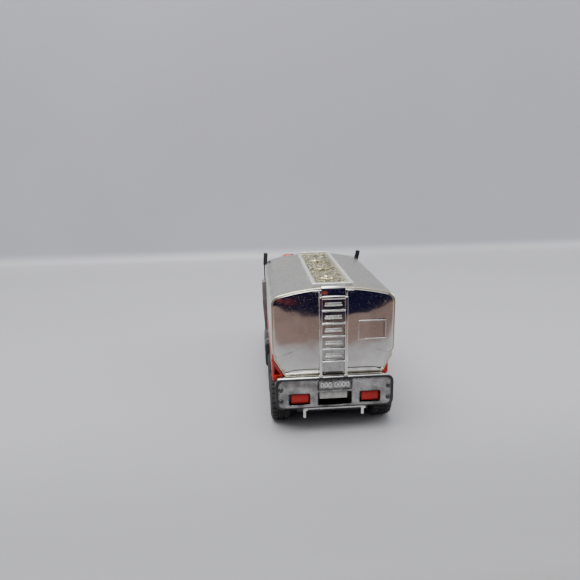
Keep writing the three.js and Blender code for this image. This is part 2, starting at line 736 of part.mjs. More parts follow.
function sideWindow() {
  return roundedOutline([
    [cabBackY + 1.7, windowSill, 0.6],
    [screenFootY - 2.1, windowSill, 0.6],
    [screenFootY - windscreenRake - 1.7, windowHeadZ, 0.8],
    [cabBackY + 1.7, windowHeadZ, 0.8],
  ]);
}

function cabShell() {
  let shell = cabVolume(0).subtract(cabVolume(cabWall));
  shell = shell.subtract(prismX(sideWindow(), -cabWidth, cabWidth));
  const paneHalf = roofWidth / 2 - 1.9;
  const pane = roundedOutline([
    [-paneHalf - 0.7, windowSill, 0.6],
    [paneHalf + 0.7, windowSill, 0.6],
    [paneHalf, windowHeadZ + 0.3, 0.9],
    [-paneHalf, windowHeadZ + 0.3, 0.9],
  ]);
  shell = shell.subtract(prismY(pane, (cabBackY + screenFootY) / 2, screenFootY + 2));
  const rearPane = rectangle(-paneHalf + 2, paneHalf - 2, windowSill + 1.2, windowHeadZ, 0.8);
  shell = shell.subtract(prismY(rearPane, cabBackY - 1, (cabBackY + screenFootY) / 2));
  const archInnerX = tyreInnerX - 1.8;
  for (const [, sign] of sides) {
    shell = shell.subtract(onSide(prismX(archOutline(wheelRadius + archGap), archInnerX, cabWidth, 14), sign));
  }
  const frameHalf = (frameRailSpacing + frameRailWidth) / 2 + clearance;
  const wallFrontY = cabBackY + cabWall + 1;
  shell = shell.subtract(box(-frameHalf, frameHalf, cabBackY - 1, wallFrontY, 0, frameTopZ + clearance));
  const grilleHole = rectangle(-grilleWidth / 2, grilleWidth / 2, grilleZ[0], grilleZ[1], 0.5);
  return shell.subtract(prismY(grilleHole, bonnetFrontY - cabWall - 1, frontY)).add(roofDome());
}

function roofDome() {
  const { x, fromBack, radius, height } = roofVent;
  const low = -cabWall;
  const dome = turned([
    [0, low],
    [radius, low],
    [radius, height * 0.35],
    [radius * 0.75, height * 0.75],
    [radius * 0.4, height * 0.95],
    [0, height],
  ], 16, "z");
  return moved(dome, x, cabBackY + fromBack, roofZ - 0.3);
}

function frontGrille() {
  const gap = clearance;
  const half = grilleWidth / 2 - gap;
  const [z0, z1] = [grilleZ[0] + gap, grilleZ[1] - gap];
  const face = rectangle(-half, half, z0, z1, 0.4);
  let grille = prismY(face, bonnetFrontY - cabWall, bonnetFrontY + grilleDepth * 0.6);
  const slatCount = 5;
  const pitch = (z1 - z0 - 0.8) / slatCount;
  for (let i = 0; i < slatCount; i += 1) {
    const z = z0 + 0.4 + pitch * (i + 0.5);
    const slot = rectangle(-half + 0.6, half - 0.6, z - pitch * 0.28, z + pitch * 0.28);
    grille = grille.subtract(prismY(slot, bonnetFrontY - 0.3, frontY));
  }
  return grille;
}

function frontBumper() {
  const half = cabWidth / 2;
  const y1 = frontY;
  const endY = y1 - frontBumperWrap;
  const outline = roundedOutline([
    [-half, endY, 0.3],
    [-half + 1, endY, 0.3],
    [-half + 1, y1 - frontBumperDepth, 0.6],
    [half - 1, y1 - frontBumperDepth, 0.6],
    [half - 1, endY, 0.3],
    [half, endY, 0.3],
    [half, y1, 1.8],
    [-half, y1, 1.8],
  ]);
  const geometry = extrusion(outline, frontBumperHeight);
  geometry.translate(0, 0, cabFloorZ - clearance - frontBumperHeight);
  return solid(geometry);
}

function headlamp(sign) {
  const r = headlampRadius;
  const body = turned([
    [0, 0],
    [r, 0],
    [r, 0.8],
    [r * 0.8, 1.15],
    [r * 0.4, 1.3],
    [0, 1.35],
  ], 16, "y");
  const x = (bonnetWidth / 2 + cabWidth / 2) / 2;
  return moved(body, sign * x, wingFrontY + clearance, wingTopZ - headlampRadius - 1.3);
}

function cabGlazing() {
  const gap = clearance;
  const thick = 0.5;
  const outer = cabVolume(cabWall + gap);
  const inner = cabVolume(cabWall + gap + thick);
  const low = beltZ - 0.6;
  const keep = box(-cabWidth, cabWidth, cabBackY, screenFootY + 1, low, windowHeadZ + 1.2);
  return outer.subtract(inner).intersect(keep);
}

function cabInterior() {
  const half = cabWidth / 2 - cabWall - 0.4;
  const y0 = cabBackY + cabWall + 0.4;
  const y1 = screenFootY - 1.6;
  const floorTop = frameTopZ + clearance + 1;
  const seatTop = floorTop + 5;
  let interior = box(-half, half, y0, y1, frameTopZ + clearance, floorTop);
  interior = interior.add(box(-half, half, y0, y0 + 2, floorTop - 0.1, beltZ - 1.2));
  for (const [, sign] of sides) {
    const middle = sign * half * 0.5;
    interior = interior.add(box(middle - 4.4, middle + 4.4, y0, y0 + 6.4, floorTop - 0.1, seatTop));
    const back = rectangle(middle - 3.8, middle + 3.8, seatTop - 0.1, beltZ + 3.2, 1);
    interior = interior.add(prismY(back, y0 + 0.9, y0 + 2.4));
  }
  return interior.add(box(-half, half, y1 - 1.6, y1, floorTop - 0.1, beltZ - 1.2));
}

function steeringWheel() {
  const ring = turned([[1.5, -0.2], [2, -0.2], [2, 0.2], [1.5, 0.2], [1.5, -0.2]], 20, "z");
  const spokes = box(-1.7, 1.7, -0.22, 0.22, -0.15, 0.15);
  const column = turned([[0, -1.6], [0.32, -1.6], [0.32, 0], [0, 0]], 12, "z");
  const wheel = ring.add(spokes).add(column).rotate([38, 0, 0]);
  return moved(wheel, -cabWidth / 4, screenFootY - 4.6, beltZ + 0.1);
}

function mirror(sign, headX, lean) {
  const y = cabBackY + 2;
  const armHalf = 0.22;
  const headLow = beltZ + mirrorRise - mirrorHeight;
  const headShape = rectangle(-mirrorWidth / 2, mirrorWidth / 2, 0, mirrorHeight, 0.3);
  const head = prismY(headShape, -mirrorDepth / 2, mirrorDepth / 2).rotate([0, lean, 0]);
  const body = moved(head, sign * headX, y, headLow);
  const wallX = roofWidth / 2 + 0.02;
  const footX = headX + 0.25;
  const footZ = fairingTopZ + clearance;
  const stalk = box(footX - armHalf, footX + armHalf, y - armHalf, y + armHalf, footZ, headLow + 0.6);
  const arm = box(wallX, headX, y - armHalf, y + armHalf, headLow + 0.1, headLow + 0.1 + 2 * armHalf);
  return body.add(onSide(stalk, sign)).add(onSide(arm, sign));
}

// A grey panel over each rear corner of the cab.
function sideFairing(sign) {
  const outer = bodyOuterX;
  const inner = cabWidth / 2 + clearance;
  const y0 = cabBackY + 0.3;
  const y1 = y0 + 3.4;
  const low = basePlateBottomZ + 0.9;
  const top = fairingTopZ;
  const outline = roundedOutline([
    [inner, low],
    [outer - 0.5, low, 0.3],
    [outer - 0.45, low + 8, 2],
    [outer, low + 14, 3],
    [outer, top, 0.5],
    [inner, top],
  ]);
  return onSide(prismY(outline, y0, y1), sign);
}

// Assembly.
add("base_plate", basePlate(), blackPlastic);
add("chassis_frame", chassisFrame(), blackPlastic);
add("tank_cradle", tankCradle(), redPaint);
add("tank_shell", tankShell(), plated);
add("walkway_tray", walkwayTray(), wornPlating);
["rear", "middle", "front"].forEach((place, index) => {
  add(`hatch_${place}`, hatch(index), wornPlating);
});
add("rear_ladder", rearLadder(), plated);
add("rear_bumper", rearBumper(), wornPlating);
add("number_plate", numberPlate(), wornPlating);
add("latch_tongue", latchTongue(), palePlastic);
add("underrun_bar", underrunBar(), wornPlating);
add("cab_shell", cabShell(), redPaint);
add("cab_glazing", cabGlazing(), clearPlastic);
add("cab_interior", cabInterior(), blackPlastic);
add("steering_wheel", steeringWheel(), blackPlastic);
add("front_grille", frontGrille(), blackPlastic);
add("front_bumper", frontBumper(), wornPlating);
rivetStations().forEach((y, index) => {
  add(`base_rivet_${index === 0 ? "rear" : "front"}`, rivet(y), axleSteel);
});
for (const [side, sign] of sides) {
  add(`tail_lamp_${side}`, tailLamp(sign), redLens);
  add(`corner_lamp_lower_${side}`, cornerLampBody(sign, cornerLamp.z[0]), blackPlastic);
  add(`corner_lamp_upper_${side}`, cornerLampBody(sign, cornerLamp.z[1]), blackPlastic);
  add(`headlamp_${side}`, headlamp(sign), clearPlastic);
  add(`mirror_${side}`, mirror(sign, bodyOuterX - mirrorInset[side], mirrorLean[side]), blackPlastic);
  add(`side_fairing_${side}`, sideFairing(sign), greyPlastic);
  add(sign < 0 ? "fuel_tank_left" : "tool_box_right", sideTank(sign), blackPlastic);
}
for (const [place, y] of Object.entries(axleY)) {
  add(`axle_${place}`, axle(y), axleSteel);
  for (const [side, sign] of sides) {
    add(`tyre_${place}_${side}`, tyre(sign, y), tyreRubber);
    add(`hub_${place}_${side}`, hub(sign, y), hubPlastic);
  }
}

export default group;
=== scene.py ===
# The looks of a toy tanker truck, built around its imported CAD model. Sizes are in millimetres.
import math

import bmesh
import bpy
from mathutils import Matrix, Vector


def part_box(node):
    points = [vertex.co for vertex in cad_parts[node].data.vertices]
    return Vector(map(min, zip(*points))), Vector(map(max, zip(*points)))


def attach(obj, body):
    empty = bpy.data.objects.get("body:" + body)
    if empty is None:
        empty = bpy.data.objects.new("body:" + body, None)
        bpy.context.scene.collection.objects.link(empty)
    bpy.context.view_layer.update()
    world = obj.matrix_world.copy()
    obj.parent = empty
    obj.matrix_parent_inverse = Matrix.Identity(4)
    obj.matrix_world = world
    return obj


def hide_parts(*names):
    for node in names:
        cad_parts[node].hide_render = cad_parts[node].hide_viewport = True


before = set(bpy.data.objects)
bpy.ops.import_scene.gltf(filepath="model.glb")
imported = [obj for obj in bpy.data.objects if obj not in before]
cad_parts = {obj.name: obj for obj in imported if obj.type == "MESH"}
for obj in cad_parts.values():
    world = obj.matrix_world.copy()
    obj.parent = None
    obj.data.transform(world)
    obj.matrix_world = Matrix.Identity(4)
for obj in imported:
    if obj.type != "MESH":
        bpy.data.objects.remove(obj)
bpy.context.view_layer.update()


# The lowest and highest corner of a CAD node, in millimetres.
def nodeBox(name):
    low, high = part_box(name)
    return low * 1000, high * 1000


# Shader helpers
def node(tree, kind, inputs=None, **settings):
    made = tree.nodes.new("ShaderNode" + kind)
    for name, value in settings.items():
        setattr(made, name, value)
    for name, value in (inputs or {}).items():
        if isinstance(value, bpy.types.NodeSocket):
            tree.links.new(value, made.inputs[name])
        else:
            made.inputs[name].default_value = value
    return made


def inMillimetres(tree):
    place = node(tree, "TexCoord").outputs["Object"]
    return node(tree, "Mapping", {"Vector": place, "Scale": (1000, 1000, 1000)}).outputs["Vector"]


def noise(tree, place, scale, detail=3.0, roughness=0.55):
    values = {"Vector": place, "Scale": scale, "Detail": detail, "Roughness": roughness}
    return node(tree, "TexNoise", values).outputs["Fac"]


def span(tree, value, fromLow, fromHigh, toLow=0.0, toHigh=1.0):
    values = {"Value": value, "From Min": fromLow, "From Max": fromHigh, "To Min": toLow, "To Max": toHigh}
    return node(tree, "MapRange", values, interpolation_type="SMOOTHSTEP").outputs["Result"]


def maths(tree, operation, first, second=0.0):
    made = node(tree, "Math", operation=operation)
    for socket, value in zip(made.inputs, (first, second)):
        if isinstance(value, bpy.types.NodeSocket):
            tree.links.new(value, socket)
        else:
            socket.default_value = value
    return made.outputs[0]


def blendColours(tree, share, first, second):
    made = tree.nodes.new("ShaderNodeMix")
    made.data_type = "RGBA"
    for socket, value in zip((made.inputs[0], made.inputs[6], made.inputs[7]), (share, first, second)):
        if isinstance(value, bpy.types.NodeSocket):
            tree.links.new(value, socket)
        elif isinstance(value, tuple):
            socket.default_value = (*value, 1)
        else:
            socket.default_value = value
    return made.outputs[2]


def edgeShare(tree, radius):
    rounded = node(tree, "Bevel", {"Radius": radius / 1000}, samples=4).outputs["Normal"]
    flat = node(tree, "NewGeometry").outputs["Normal"]
    made = node(tree, "VectorMath", operation="DOT_PRODUCT")
    tree.links.new(rounded, made.inputs[0])
    tree.links.new(flat, made.inputs[1])
    return span(tree, made.outputs["Value"], 0.985, 0.78)


# A finish with faded patches, grain, chips that gather on the edges, and a waviness under the gloss.
def wornLook(name, slot, v):
    look = bpy.data.materials.new(name)
    look.use_nodes = True
    tree = look.node_tree
    shader = tree.nodes["Principled BSDF"]
    place = inMillimetres(tree)
    patches = noise(tree, place, v.get("patchScale", 0.25), 5.0, 0.6)
    grain = noise(tree, place, v.get("grainScale", 6.0), 3.0, 0.7)
    colour = blendColours(tree, span(tree, patches, 0.38, 0.66), v["colour"], v["faded"])
    low, high = v["roughness"]
    roughness = span(tree, patches, 0.35, 0.7, low, high)
    roughness = maths(tree, "ADD", roughness, span(tree, grain, 0.3, 0.75, 0.0, v.get("grainGloss", 0.06)))
    metallic = v.get("metallic", 0.0)
    if v.get("chips"):
        chips = v["chips"]
        speckle = noise(tree, place, chips["scale"], 8.0, 0.72)
        reach = maths(tree, "MULTIPLY", edgeShare(tree, chips.get("edge", 0.45)),
                      chips.get("edgeShare", 0.22))
        drift = maths(tree, "MULTIPLY", patches, chips.get("drift", 0.2))
        total = maths(tree, "ADD", maths(tree, "ADD", speckle, reach), drift)
        bare = span(tree, total, chips["from"], chips["from"] + chips.get("blur", 0.03))
        colour = blendColours(tree, bare, colour, chips["colour"])
        roughness = maths(tree, "ADD", roughness, maths(tree, "MULTIPLY", bare, chips.get("roughness", 0.25)))
        if metallic:
            metallic = maths(tree, "MULTIPLY", maths(tree, "SUBTRACT", 1.0, bare), metallic)
    if v.get("edgeTint"):
        rim = node(tree, "Attribute", attribute_name="edge").outputs["Fac"]
        colour = blendColours(tree, maths(tree, "MULTIPLY", rim, 0.8), colour, v["edgeTint"])
        roughness = maths(tree, "ADD", roughness, maths(tree, "MULTIPLY", rim, 0.12))
    height = maths(tree, "MULTIPLY", grain, v.get("grainDepth", 0.01))
    if v.get("waveDepth"):
        wave = noise(tree, place, v.get("waveScale", 0.5), 1.0, 0.4)
        height = maths(tree, "ADD", height, maths(tree, "MULTIPLY", wave, v["waveDepth"]))
    if v.get("ribs"):
        ribs = node(tree, "TexWave", {"Vector": place, "Scale": v["ribs"]["scale"], "Distortion": 0.0},
                    bands_direction=v["ribs"]["along"]).outputs["Fac"]
        height = maths(tree, "ADD", height, maths(tree, "MULTIPLY", ribs, v["ribs"]["depth"]))
    bump = node(tree, "Bump", {"Strength": 1.0, "Distance": 0.001, "Height": height}).outputs["Normal"]
    tree.links.new(bump, shader.inputs["Normal"])
    tree.links.new(colour, shader.inputs["Base Color"])
    tree.links.new(roughness, shader.inputs["Roughness"])
    if isinstance(metallic, bpy.types.NodeSocket):
        tree.links.new(metallic, shader.inputs["Metallic"])
    else:
        shader.inputs["Metallic"].default_value = metallic
    shader.inputs["Coat Weight"].default_value = v.get("coat", 0.0)
    shader.inputs["Coat Roughness"].default_value = 0.08
    shader.inputs["Transmission Weight"].default_value = v.get("clear", 0.0)
    shader.inputs["Subsurface Weight"].default_value = v.get("depth", 0.0)
    shader.inputs["Subsurface Scale"].default_value = 0.0006
    return {"look": look, "slot": slot}


# Finishes
headChrome = wornLook("headChrome", "tank_plating", {
    "colour": (0.70, 0.685, 0.665), "faded": (0.58, 0.56, 0.53), "roughness": (0.05, 0.12), "metallic": 1.0,
    "patchScale": 0.18, "grainScale": 9.0, "grainDepth": 0.0012, "grainGloss": 0.05,
    "waveScale": 0.3, "waveDepth": 0.05, "edgeTint": (0.66, 0.62, 0.42),
    "chips": {"scale": 4.0, "from": 0.69, "blur": 0.05, "colour": (0.42, 0.41, 0.38), "edgeShare": 0.0,
              "drift": 0.14, "roughness": 0.35},
})
satinChrome = wornLook("satinChrome", "tank_plating", {
    "colour": (0.68, 0.675, 0.615), "faded": (0.56, 0.55, 0.48), "roughness": (0.2, 0.34), "metallic": 1.0,
    "patchScale": 0.12, "grainScale": 4.0, "grainDepth": 0.003, "waveScale": 0.15, "waveDepth": 0.03,
    "edgeTint": (0.62, 0.58, 0.38),
})
ladderChrome = wornLook("ladderChrome", "tank_plating", {
    "colour": (0.86, 0.86, 0.84), "faded": (0.68, 0.68, 0.66), "roughness": (0.07, 0.2), "metallic": 1.0,
    "patchScale": 0.5, "grainScale": 8.0, "grainDepth": 0.003,
    "chips": {"scale": 2.2, "from": 0.82, "colour": (0.10, 0.095, 0.085), "edgeShare": 0.2, "edge": 0.2},
})
# A brightened, partly matte copy of the tank plating for the ladder treads, the walkway rim and the underrun
# bar: real bright parts with a painted highlight.
paintedHighlightChrome = wornLook("paintedHighlightChrome", "tank_plating", {
    "colour": (0.92, 0.92, 0.88), "faded": (0.76, 0.76, 0.70), "roughness": (0.2, 0.34), "metallic": 0.68,
    "patchScale": 0.5, "grainScale": 6.0, "grainDepth": 0.004,
})
trayFloor = wornLook("trayFloor", "tarnished_plating", {
    "colour": (0.72, 0.69, 0.54), "faded": (0.24, 0.22, 0.12), "roughness": (0.14, 0.3), "metallic": 0.95,
    "patchScale": 0.9, "grainScale": 3.0, "grainDepth": 0.12, "grainGloss": 0.1,
    "waveScale": 1.6, "waveDepth": 0.45,
    "chips": {"scale": 1.6, "from": 0.67, "colour": (0.06, 0.055, 0.03), "edgeShare": 0.1},
})
tarnish = wornLook("tarnish", "tarnished_plating", {
    "colour": (0.66, 0.62, 0.44), "faded": (0.26, 0.23, 0.12), "roughness": (0.12, 0.28), "metallic": 0.95,
    "patchScale": 0.7, "grainScale": 3.2, "grainDepth": 0.08, "grainGloss": 0.12,
    "waveScale": 1.4, "waveDepth": 0.3,
    "chips": {"scale": 2.2, "from": 0.72, "colour": (0.05, 0.045, 0.03), "edgeShare": 0.12},
})
wornPlating = wornLook("wornPlating", "worn_plating", {
    "colour": (0.45, 0.44, 0.43), "faded": (0.235, 0.23, 0.225), "roughness": (0.2, 0.38), "metallic": 0.85,
    "patchScale": 0.35, "grainScale": 5.0, "grainDepth": 0.012,
    "chips": {"scale": 1.7, "from": 0.745, "blur": 0.05, "colour": (0.012, 0.012, 0.013), "edge": 0.7,
              "edgeShare": 0.3, "drift": 0.26, "roughness": 0.2},
})
# A darkened copy of the tank plating for the plate behind the ladder rungs: painted shade in the recess
# between the rails.
shadedBackingChrome = wornLook("shadedBackingChrome", "tank_plating", {
    "colour": (0.46, 0.46, 0.44), "faded": (0.34, 0.34, 0.32), "roughness": (0.1, 0.22), "metallic": 1.0,
    "patchScale": 0.6, "grainScale": 8.0, "grainDepth": 0.003,
})
redPaint = wornLook("redPaint", "red_paint", {
    "colour": (0.60, 0.030, 0.018), "faded": (0.46, 0.022, 0.015), "roughness": (0.18, 0.3),
    "grainScale": 3.0, "grainDepth": 0.0025, "coat": 0.6, "waveScale": 0.4, "waveDepth": 0.02,
    "chips": {"scale": 1.8, "from": 1.0, "colour": (0.25, 0.24, 0.23), "edge": 0.25, "edgeShare": 0.26},
})
blackPlastic = wornLook("blackPlastic", "black_plastic", {
    "colour": (0.014, 0.015, 0.017), "faded": (0.028, 0.029, 0.032), "roughness": (0.32, 0.5),
    "grainScale": 7.0, "grainDepth": 0.01, "patchScale": 0.4,
    "chips": {"scale": 1.6, "from": 0.98, "colour": (0.09, 0.09, 0.09), "edge": 0.25, "edgeShare": 0.22},
})
greyPlastic = wornLook("greyPlastic", "grey_plastic", {
    "colour": (0.20, 0.185, 0.175), "faded": (0.15, 0.14, 0.135), "roughness": (0.4, 0.55),
    "grainScale": 7.0, "grainDepth": 0.008, "patchScale": 0.4,
})
palePlastic = wornLook("palePlastic", "pale_plastic", {
    "colour": (0.56, 0.55, 0.50), "faded": (0.42, 0.41, 0.36), "roughness": (0.3, 0.45),
    "grainScale": 5.0, "grainDepth": 0.01, "patchScale": 0.8,
})
tyreRubber = wornLook("tyreRubber", "tyre_rubber", {
    "colour": (0.012, 0.012, 0.012), "faded": (0.026, 0.025, 0.024), "roughness": (0.55, 0.75),
    "grainScale": 6.0, "grainDepth": 0.02, "patchScale": 0.6,
    "chips": {"scale": 2.0, "from": 0.98, "colour": (0.07, 0.066, 0.06), "edge": 0.2, "edgeShare": 0.2},
})
hubPlating = wornLook("hubPlating", "hub_plating", {
    "colour": (0.62, 0.62, 0.60), "faded": (0.46, 0.46, 0.44), "roughness": (0.16, 0.32), "metallic": 0.9,
    "grainScale": 6.0, "grainDepth": 0.006,
    "chips": {"scale": 2.0, "from": 0.98, "colour": (0.05, 0.05, 0.05), "edge": 0.2, "edgeShare": 0.22},
})
axleSteel = wornLook("axleSteel", "axle_steel", {
    "colour": (0.52, 0.51, 0.50), "faded": (0.30, 0.27, 0.24), "roughness": (0.22, 0.42), "metallic": 1.0,
    "patchScale": 1.2, "grainScale": 8.0, "grainDepth": 0.006,
})
redLens = wornLook("redLens", "red_lens", {
    "colour": (0.52, 0.004, 0.003), "faded": (0.32, 0.003, 0.002), "roughness": (0.32, 0.45), "coat": 0.0,
    "depth": 0.05, "grainDepth": 0.003, "ribs": {"scale": 0.55, "along": "X", "depth": 0.03},
})
darkLens = wornLook("darkLens", "dark_lens", {
    "colour": (0.010, 0.010, 0.012), "faded": (0.05, 0.05, 0.05), "roughness": (0.12, 0.3), "metallic": 0.2,
    "patchScale": 1.6, "grainDepth": 0.004, "coat": 0.7,
})
windowPlastic = wornLook("windowPlastic", "window_plastic", {
    "colour": (0.74, 0.80, 0.84), "faded": (0.66, 0.72, 0.76), "roughness": (0.03, 0.09), "clear": 0.92,
    "grainDepth": 0.001, "waveScale": 0.3, "waveDepth": 0.01,
})
clearPlastic = wornLook("clearPlastic", "clear_plastic", {
    "colour": (0.86, 0.87, 0.88), "faded": (0.74, 0.75, 0.75), "roughness": (0.05, 0.14), "clear": 0.55,
    "coat": 0.6, "grainDepth": 0.002, "ribs": {"scale": 0.7, "along": "X", "depth": 0.07},
})
interiorPlastic = wornLook("interiorPlastic", "interior_plastic", {
    "colour": (0.030, 0.030, 0.033), "faded": (0.05, 0.05, 0.054), "roughness": (0.5, 0.65),
    "grainScale": 5.0, "grainDepth": 0.03,
})
print("finishes made")


# Mesh helpers
def dress(made, finish, body="chassis", smoothAngle=38):
    made.data.materials.clear()
    made.data.materials.append(finish["look"])
    for face in made.data.polygons:
        face.use_smooth = True
    made.data.set_sharp_from_angle(angle=math.radians(smoothAngle))
    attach(made, body)
    return made


def rawObject(name, points, faces):
    mesh = bpy.data.meshes.new(name)
    mesh.from_pydata([Vector(p) / 1000 for p in points], [], faces)
    mesh.update()
    made = bpy.data.objects.new(name, mesh)
    bpy.context.scene.collection.objects.link(made)
    return made


def fromBmesh(name, shape):
    mesh = bpy.data.meshes.new(name)
    shape.to_mesh(mesh)
    shape.free()
    made = bpy.data.objects.new(name, mesh)
    bpy.context.scene.collection.objects.link(made)
    return made


# All faces point outwards. With mend, doubled points are joined and open ends are closed first.
def turnOutwards(made, mend=False):
    shape = bmesh.new()
    shape.from_mesh(made.data)
    if mend:
        bmesh.ops.remove_doubles(shape, verts=shape.verts, dist=1e-7)
        bmesh.ops.holes_fill(shape, edges=shape.edges)
    bmesh.ops.recalc_face_normals(shape, faces=shape.faces)
    shape.to_mesh(made.data)
    shape.free()


# A closed outline through (u, v, radius) corners, each rounded by its own radius.
def roundedOutline(corners, steps=6):
    points = []
    for i, corner in enumerate(corners):
        u, v, radius = (*corner, 0)[:3]
        before, after = corners[i - 1], corners[(i + 1) % len(corners)]
        into, out = Vector((before[0] - u, before[1] - v)), Vector((after[0] - u, after[1] - v))
        cut = min(radius, into.length / 2, out.length / 2)
        if cut <= 0:
            points.append((u, v))
            continue
        start, end = Vector((u, v)) + into.normalized() * cut, Vector((u, v)) + out.normalized() * cut
        for step in range(steps + 1):
            t = step / steps
            p = start * (1 - t) ** 2 + Vector((u, v)) * 2 * t * (1 - t) + end * t ** 2
            points.append((p.x, p.y))
    return points


def rectangle(u0, u1, v0, v1, radius=0, steps=6):
    return roundedOutline([(u0, v0, radius), (u1, v0, radius), (u1, v1, radius), (u0, v1, radius)], steps)


def intoPlace(axis, u, v, along):
    return {"x": (along, u, v), "y": (u, along, v), "z": (u, v, along)}[axis]


# An outline extruded along one axis, with whole end faces.
def prism(name, outline, axis, near, far):
    count = len(outline)
    points = [intoPlace(axis, u, v, along) for along in (near, far) for u, v in outline]
    faces = [tuple(range(count)), tuple(range(2 * count - 1, count - 1, -1))]
    faces += [(i, i + count, (i + 1) % count + count, (i + 1) % count) for i in range(count)]
    made = rawObject(name, points, faces)
    turnOutwards(made)
    return made


def settle(made):
    mesh = bpy.data.meshes.new_from_object(made.evaluated_get(bpy.context.evaluated_depsgraph_get()))
    made.modifiers.clear()
    made.data = mesh
    return made


def combine(base, tool, operation):
    step = base.modifiers.new("combine", "BOOLEAN")
    step.object = tool
    step.operation = operation
    step.solver = "EXACT"
    settle(base)
    bpy.data.objects.remove(tool)
    return base


def softenEdges(made, width, segments=3, angle=32):
    step = made.modifiers.new("soften", "BEVEL")
    step.width = width / 1000
    step.segments = segments
    step.limit_method = "ANGLE"
    step.angle_limit = math.radians(angle)
    return settle(made)


# A flat plate with rounded edges: the first outline is its rim, the others are holes.
def plate(name, outlines, axis, near, far, edge, finish, body="chassis"):
    made = prism(name, outlines[0], axis, near, far)
    for hole in outlines[1:]:
        combine(made, prism("hole", hole, axis, near - 1, far + 1), "DIFFERENCE")
    return dress(softenEdges(made, edge, 3, 40), finish, body)


# Blocks with rounded edges, joined as one piece. Each is (lowest corner, highest corner[, lean about Y]).
def roundedBlocks(name, blocks, edge, finish, body="chassis"):
    shape = bmesh.new()
    for low, high, *lean in blocks:
        low, high = Vector(low) / 1000, Vector(high) / 1000
        made = bmesh.ops.create_cube(shape, size=1)["verts"]
        bmesh.ops.scale(shape, vec=high - low, verts=made)
        if lean:
            turn = Matrix.Rotation(math.radians(lean[0]), 3, "Y")
            bmesh.ops.rotate(shape, cent=(0, 0, 0), matrix=turn, verts=made)
        bmesh.ops.translate(shape, vec=(low + high) / 2, verts=made)
    bmesh.ops.bevel(shape, geom=shape.edges[:], offset=edge / 1000, segments=3, profile=0.5, affect="EDGES",
                    clamp_overlap=True)
    return dress(fromBmesh(name, shape), finish, body)


# A turned body from (radius, position along the axis) points.
def turned(name, profile, axis, centre, finish, body="chassis", segments=48, smoothAngle=38):
    points, faces = [], []
    for radius, along in profile:
        for i in range(segments):
            angle = 2 * math.pi * i / segments
            u, v = radius * math.cos(angle), radius * math.sin(angle)
            points.append(Vector(intoPlace(axis, u, v, along)) + Vector(centre))
    for j in range(len(profile) - 1):
        for i in range(segments):
            k = (i + 1) % segments
            faces.append((j * segments + i, j * segments + k, (j + 1) * segments + k, (j + 1) * segments + i))
    made = rawObject(name, points, faces)
    turnOutwards(made, mend=True)
    return dress(made, finish, body, smoothAngle)


# A CAD node that stays in view, with its edges rounded.
def showNode(name, finish, edge=0.12):
    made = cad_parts[name]
    made.data.materials.clear()
    made.data.materials.append(finish["look"])
    weld = made.modifiers.new("weld", "WELD")
    weld.merge_threshold = 1e-6
    step = made.modifiers.new("soften", "BEVEL")
    step.width = edge / 1000
    step.segments = 2
    step.limit_method = "ANGLE"
    step.angle_limit = math.radians(35)
    made.modifiers.new("even", "WEIGHTED_NORMAL")


sides = (("left", -1), ("right", 1))
farSide = 40  # well outside the truck, for cuts that go all the way through

# Tank
tank = {
    "headDepth": 1.45, "panelProud": 0.12, "crownRadius": 52, "shoulder": 2.6, "bevelWidth": 2.8,
    "bevelHeight": 5,
    "creaseRadius": 30.9, "creaseCentre": 48.4, "creaseDepth": 0.07, "creaseSoft": 0.5,
    "domePower": 2.9, "lowerPower": 3.0, "roundSteps": 14, "troughGap": 0.02, "troughDrop": 0.05,
}
tankLow, tankHigh = nodeBox("tank_shell")
trayLow, trayHigh = nodeBox("walkway_tray")
tankRearY = tankLow.y + tank["headDepth"] + tank["panelProud"]
tankFrontY = tankHigh.y - tank["headDepth"]
tankHalf, tankFloorZ, tankTopZ = tankHigh.x, tankLow.z, tankHigh.z
tankMiddleZ = (tankFloorZ + tankTopZ) / 2


def arc(centreX, centreZ, radius, start, end, steps):
    angles = [start + (end - start) * i / steps for i in range(steps + 1)]
    return [(centreX + radius * math.cos(a), centreZ + radius * math.sin(a)) for a in angles]


def tankOutline():
    v = tank
    steps = v["roundSteps"]
    crownZ = tankTopZ - v["crownRadius"]
    cornerX = tankHalf - v["shoulder"]
    cornerZ = crownZ + math.sqrt((v["crownRadius"] - v["shoulder"]) ** 2 - cornerX ** 2)
    lean = math.atan2(cornerZ - crownZ, cornerX)
    bevelZ = tankFloorZ + v["bevelHeight"]
    foot = tankHalf - v["bevelWidth"]
    right = roundedOutline([(0, tankFloorZ), (foot, tankFloorZ, 0.5), (tankHalf, bevelZ, 1.2)], 6)[1:-1]
    right = [p for p in right if p[0] > 1]
    side = [(tankHalf, bevelZ + 1 + (cornerZ - bevelZ - 1) * i / 6) for i in range(6)]
    shoulder = arc(cornerX, cornerZ, v["shoulder"], 0, lean, steps)
    crown = arc(0, crownZ, v["crownRadius"], lean, math.pi / 2, 2 * steps)[1:]
    half = [(foot * i / 8, tankFloorZ) for i in range(8)] + right + side + shoulder + crown
    mirrored = [(-x, z) for x, z in reversed(half) if x > 1e-6]
    return half + mirrored


# Stations from the rim over the rolled edge to the middle of the head, as (share of the section, share
# of the depth). The dome works its own depth out.
def headStations():
    roll = [(1.0, -0.3), (1.0, 0.0), (0.9985, 0.1), (0.994, 0.2), (0.987, 0.26), (0.979, 0.27), (0.972, 0.23),
            (0.966, 0.235), (0.958, 0.33)]
    return roll + [(0.945 * (1 - i / 40), None) for i in range(40)]


